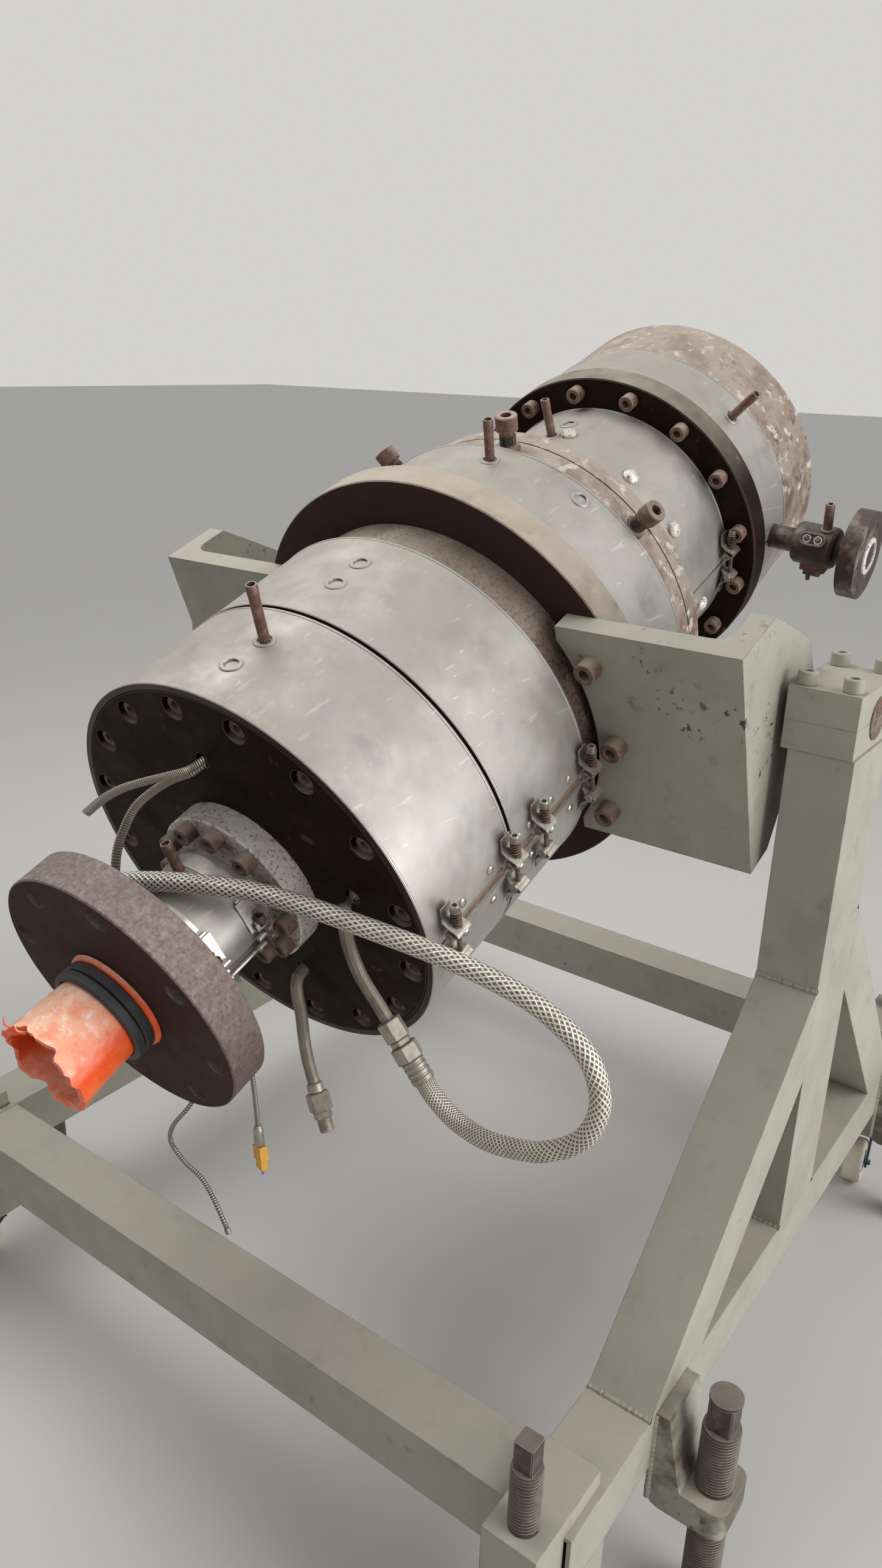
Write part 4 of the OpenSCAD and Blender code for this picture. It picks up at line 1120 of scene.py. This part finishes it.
class MESH_OT_die_neck(bpy.types.Operator):
    """Builds the neck's heater: rolled sheet, clamp straps, keyhole plate, rod and screws"""
    bl_idname = "mesh.die_neck"
    bl_label = "Neck heater"

    def execute(self, context):
        sheet = Shape()
        arc_strap(sheet, 112, 352, 96, (
            (80.6, -859), (88.4, -859), (89.4, -858), (89.4, -723), (88.4, -722), (80.6, -722)))
        sheet = sheet.piece("neck_sheet", MATERIALS["band"], "die", "band_steel")
        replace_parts(sheet, "neck_heater")

        straps, screws = Shape(), Shape()
        for s in (-746, -836):
            arc_strap(straps, 118, 294, 73, (
                (NECK_R, s - 13), (NECK_R + 1.2, s - 13), (NECK_R + 1.2, s + 13), (NECK_R, s + 13)))
            plate = around(75, s + 2, 91.2)
            straps.box((-27, -19, -0.9), (24, 19, 0.9), plate, 0.4)
            straps.box((-31, -15, -3.2), (-26, 15, -1.4), plate, 0.4)
            straps.box((22, -12, -0.9), (25, 19, 9), plate, 0.6)
            straps.box((14, -12, 6), (25, -6, 9), plate, 0.6)
            for turn, low, high in ((97, s - 14, s + 14), (108, s - 16, s + 18)):
                pin = around(turn, low, 99) @ spin(-90, "X")
                length = high - low
                straps.lathe([(0, 0), (4.4, 0), (5, 0.8), (5, length - 0.8), (4.4, length), (0, length)],
                             pin, 18)
            screw = around(84, s + 3, 99)
            socket_screw(screws, screw @ spin(-90, "Y"), 15, 10, 8)
            screws.lathe([(0, 0), (3.6, 0), (3.6, 48), (0, 48)], screw @ spin(90, "Y"), 14)
            screws.lathe([(0, 0), (6, 0), (6, 1.3), (0, 1.3)], plate @ shift(2, 2, 0), 20)
            screws.box((2, 0.6, 0), (14, 3.4, 1.3), plate)
        rod = around(113.5, -862, 94) @ spin(-90, "X")
        straps.lathe([(0, 0), (3.2, 0), (3.6, 0.6), (3.6, 137), (3.2, 138), (0, 138)], rod, 16)
        straps = straps.piece("neck_straps", MATERIALS["nickel"], "die", "clamp_steel")
        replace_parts(straps, "neck_heater")
        screws.piece("neck_screws", MATERIALS["spring"], "die", "clamp_steel")
        return {"FINISHED"}


class MESH_OT_die_side_inlet(bpy.types.Operator):
    """Adds the window, bolt, lock and socket of the side inlet, with black insets as painted shade in the
    window, the bore and the bolt holes
    """
    bl_idname = "mesh.die_side_inlet"
    bl_label = "Side inlet"

    def execute(self, context):
        at = around(SEAM_TURN, SIDE_INLET_S, BAND5_R)
        shape, bright, dark = Shape(), Shape(), Shape()
        window = at @ shift(0, 0, 90) @ spin(-42, "Z") @ shift(0, -39.6, 0) @ spin(90, "X")
        turns = [2 * math.pi * (k + 0.5) / 28 for k in range(28)]
        outline = [(11 * math.cos(t), 11 * math.sin(t) + (13 if math.sin(t) > 0 else -13)) for t in turns]
        loop = [Vector((x * MM, y * MM, 1.5 * MM)) for x, y in outline]
        rows = []
        for i, point in enumerate(loop):
            tangent = (loop[(i + 1) % len(loop)] - loop[i - 1]).normalized()
            out = tangent.cross(Vector((0, 0, 1)))
            rows.append([point + out * (a * MM) + Vector((0, 0, b * MM)) for a, b in circle(2.4, 8)])
        shape.rings(rows, window, loop=True)
        # painted shade: a black inset fills the window's opening
        dark.prism(outline, -3, 1.0, window)
        for y in (-11, 11):
            eye = window @ shift(0, y, 1.2)
            bright.lathe([(5.5, -2), (8.5, -2), (8.5, 1.4), (7, 2.2), (5.5, 1.4), (5.5, -2)], eye, 20)
            shape.lathe([(0, -1), (4, -1), (4, 3), (0, 4)], eye, 14)
        bolt = at @ shift(-34, -4, 108) @ spin(-90, "Y")
        shape.lathe([(0, 0), (13, 0), (13, 7), (9, 8), (9, 58), (7.6, 60), (5, 60), (5, 52), (0, 52)],
                    bolt, 22)
        lock = at @ shift(38, -8, 92)
        shape.box((-6, -16, -24), (8, 16, 26), lock, 2)
        shape.box((6, -11, -18), (20, 9, 16), lock, 2)
        pin = lock @ shift(20, -6, -8) @ spin(72, "X")
        shape.lathe([(0, -14), (4, -14), (4.5, -13), (4.5, 18), (3, 20), (0, 20)], pin, 14)
        front = at @ shift(0, 0, 190)
        bright.lathe([(26, -0.5), (36, -0.5), (35, 3), (30, 5), (27, 5), (26, 3), (26, -0.5)], front, 40)
        # painted shade: a black disc fills the bore inside the ring
        dark.lathe([(0, -1), (26, -1), (26, 1.2), (0, 1.2)], front, 32)
        # painted shade: six black ovals stand in for the bolt holes
        for k in range(6):
            dark.prism(oval(5, 8, 16), -2, 0.6, front @ spin(20 + 60 * k, "Z") @ shift(60, 0, 0))
        shape.piece("side_inlet_lock", MATERIALS["bolt"], "die", "rusty_flange")
        bright.piece("side_inlet_bright", MATERIALS["pale"], "die", "rusty_flange")
        dark.piece("side_inlet_dark", MATERIALS["fork"], "die", "dark_steel")
        return {"FINISHED"}


# Spring clamps: station and radius of the band they hold
CLAMPS = ((-623, BAND_R), (-472, BAND_R), (-391, BAND_R), (-251, BAND_R), (428, BAND4_R))


def folded_strap(shape, at, width):
    """Strap that lies on the band, stands up and folds back towards the screw."""
    path = [(-64, 1.5), (-52, 1.8), (-44, 4), (-37, 12), (-33, 21), (-30, 27), (-26.5, 29), (-23.5, 26),
            (-21.5, 19), (-19.8, 12), (-17, 7), (-13, 5.5)]
    rows = []
    for i, (x, z) in enumerate(path):
        a = Vector(path[max(i - 1, 0)])
        b = Vector(path[min(i + 1, len(path) - 1)])
        t = (b - a).normalized()
        n = Vector((-t.y, t.x)) * 1.3
        taper = width / 2 * (1.0 if 1 < i < 10 else 0.72)
        rows.append([((x + side * n.x) * MM, y * MM, (z + side * n.y) * MM) for side, y in (
            (1, -taper), (1, taper), (-1, taper), (-1, -taper))])
    shape.rings(rows, at)


class MESH_OT_die_clamps(bpy.types.Operator):
    """Builds the spring clamps over the bands' seams"""
    bl_idname = "mesh.die_clamps"
    bl_label = "Spring clamps"

    def execute(self, context):
        straps, springs = Shape(), Shape()
        for s, r in CLAMPS:
            at = around(SEAM_TURN, s, r)
            folded_strap(straps, at, 30)
            folded_strap(straps, at @ spin(180, "Z") @ shift(2, 0, -0.5), 26)
            axis = at @ shift(0, 0, 18) @ spin(90, "Y")
            springs.lathe([(0, -64), (3.8, -64), (3.8, 30), (0, 30)], axis, 16)
            socket_screw(straps, axis @ shift(0, 0, -64) @ spin(180, "X"), 14, 9, 7)
            straps.lathe([(4, -64), (8.2, -64), (8.2, -62), (4, -62), (4, -64)], axis, 20)
            for x, z in ((-20, 13), (24, 18)):
                straps.lathe([(0, -15), (6.2, -15), (7, -14), (7, 14), (6.2, 15), (0, 15)],
                             at @ shift(x, 0, z) @ spin(90, "X"), 18)
            springs.sweep(helix(6.4, 5.2, 6.4, -60.4, 18), circle(1.7, 8), axis)
        clamps = straps.piece("spring_clamps", MATERIALS["clamp"], "die", "clamp_steel")
        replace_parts(clamps, "seam_clamps")
        coils = springs.piece("clamp_coils", MATERIALS["spring"], "die", "clamp_steel", smooth=60)
        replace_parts(coils, "clamp_springs")
        return {"FINISHED"}


# Half the floor's side in metres, and the lights: name, place, size in metres, power in watts
FLOOR_HALF = 40.0
AREA_LIGHTS = (("overhead", (-1.2, -0.2, 3.6), 2.2, 60), ("right_window", (4.0, 0.3, 1.1), 3.4, 125))


class SCENE_OT_die_stage(bpy.types.Operator):
    """Lays the pale floor and hangs the soft studio lights"""
    bl_idname = "scene.die_stage"
    bl_label = "Stage"

    def execute(self, context):
        material, tree, shader, place = start_material("pale_floor", 0.9)
        colour = layered(tree, place.outputs["Object"], "#c4c2be", [("#bdbab5", 400, 0.5, 0.3, 0.5)])
        tree.links.new(colour, shader.inputs["Base Color"])
        mesh = bpy.data.meshes.new("floor")
        corners = [(-FLOOR_HALF, -FLOOR_HALF, 0), (FLOOR_HALF, -FLOOR_HALF, 0),
                   (FLOOR_HALF, FLOOR_HALF, 0), (-FLOOR_HALF, FLOOR_HALF, 0)]
        mesh.from_pydata(corners, [], [(0, 1, 2, 3)])
        mesh.materials.append(material)
        floor = bpy.data.objects.new("floor", mesh)
        context.scene.collection.objects.link(floor)

        world = bpy.data.worlds.new("studio")
        world.use_nodes = True
        tree = world.node_tree
        lit = tree.nodes["Background"]
        lit.inputs["Color"].default_value = linear("#e6e8ea")
        lit.inputs["Strength"].default_value = 0.5
        seen = add(tree, "ShaderNodeBackground", {"Color": "#d3d2cf", "Strength": 1.0})
        rays = add(tree, "ShaderNodeLightPath").outputs
        either = calc(tree, "MAXIMUM", rays["Is Camera Ray"], rays["Is Transmission Ray"])
        blend = add(tree, "ShaderNodeMixShader", {0: either, 1: lit.outputs[0], 2: seen.outputs[0]})
        tree.links.new(blend.outputs[0], tree.nodes["World Output"].inputs["Surface"])
        context.scene.world = world
        sun = bpy.data.lights.new("window", "SUN")
        sun.energy = 1.1
        sun.angle = math.radians(35)
        lamp = bpy.data.objects.new("window", sun)
        lamp.rotation_euler = Vector((-1.5, -0.4, -1.5)).to_track_quat("-Z", "Y").to_euler()
        context.scene.collection.objects.link(lamp)
        for name, spot, size, power in AREA_LIGHTS:
            data = bpy.data.lights.new(name, "AREA")
            data.size = size
            data.energy = power
            lamp = bpy.data.objects.new(name, data)
            lamp.location = spot
            lamp.rotation_euler = (Vector((0, 0, 1.0)) - Vector(spot)).to_track_quat("-Z", "Y").to_euler()
            context.scene.collection.objects.link(lamp)
        context.scene.view_settings.view_transform = "Standard"
        return {"FINISHED"}


OPERATORS = (MESH_OT_die_finishes, SCENE_OT_die_camera, MESH_OT_die_cords, MESH_OT_die_bolts,
             MESH_OT_die_threads, MESH_OT_die_welds, MESH_OT_die_trim, MESH_OT_die_sleeve,
             MESH_OT_die_neck, MESH_OT_die_side_inlet, MESH_OT_die_clamps, SCENE_OT_die_stage)


class VIEW3D_PT_die_head(bpy.types.Panel):
    """Lists the sizes, colours and steps"""
    bl_label = "Die head"
    bl_idname = "VIEW3D_PT_die_head"
    bl_space_type = "VIEW_3D"
    bl_region_type = "UI"
    bl_category = "Die head"

    def draw(self, context):
        for group in (context.scene.die_look, context.scene.die_sizes):
            for key in group.__annotations__:
                self.layout.prop(group, key)
        for operator in OPERATORS:
            self.layout.operator(operator.bl_idname)


CLASSES = (DieLook, DieSizes) + OPERATORS + (VIEW3D_PT_die_head,)


def register():
    for cls in CLASSES:
        bpy.utils.register_class(cls)
    bpy.types.Scene.die_look = bpy.props.PointerProperty(type=DieLook)
    bpy.types.Scene.die_sizes = bpy.props.PointerProperty(type=DieSizes)


def unregister():
    del bpy.types.Scene.die_sizes
    del bpy.types.Scene.die_look
    for cls in reversed(CLASSES):
        bpy.utils.unregister_class(cls)


def main():
    register()
    for operator in OPERATORS:
        group, name = operator.bl_idname.split(".")
        getattr(getattr(bpy.ops, group), name)()


if __name__ == "__main__":
    main()
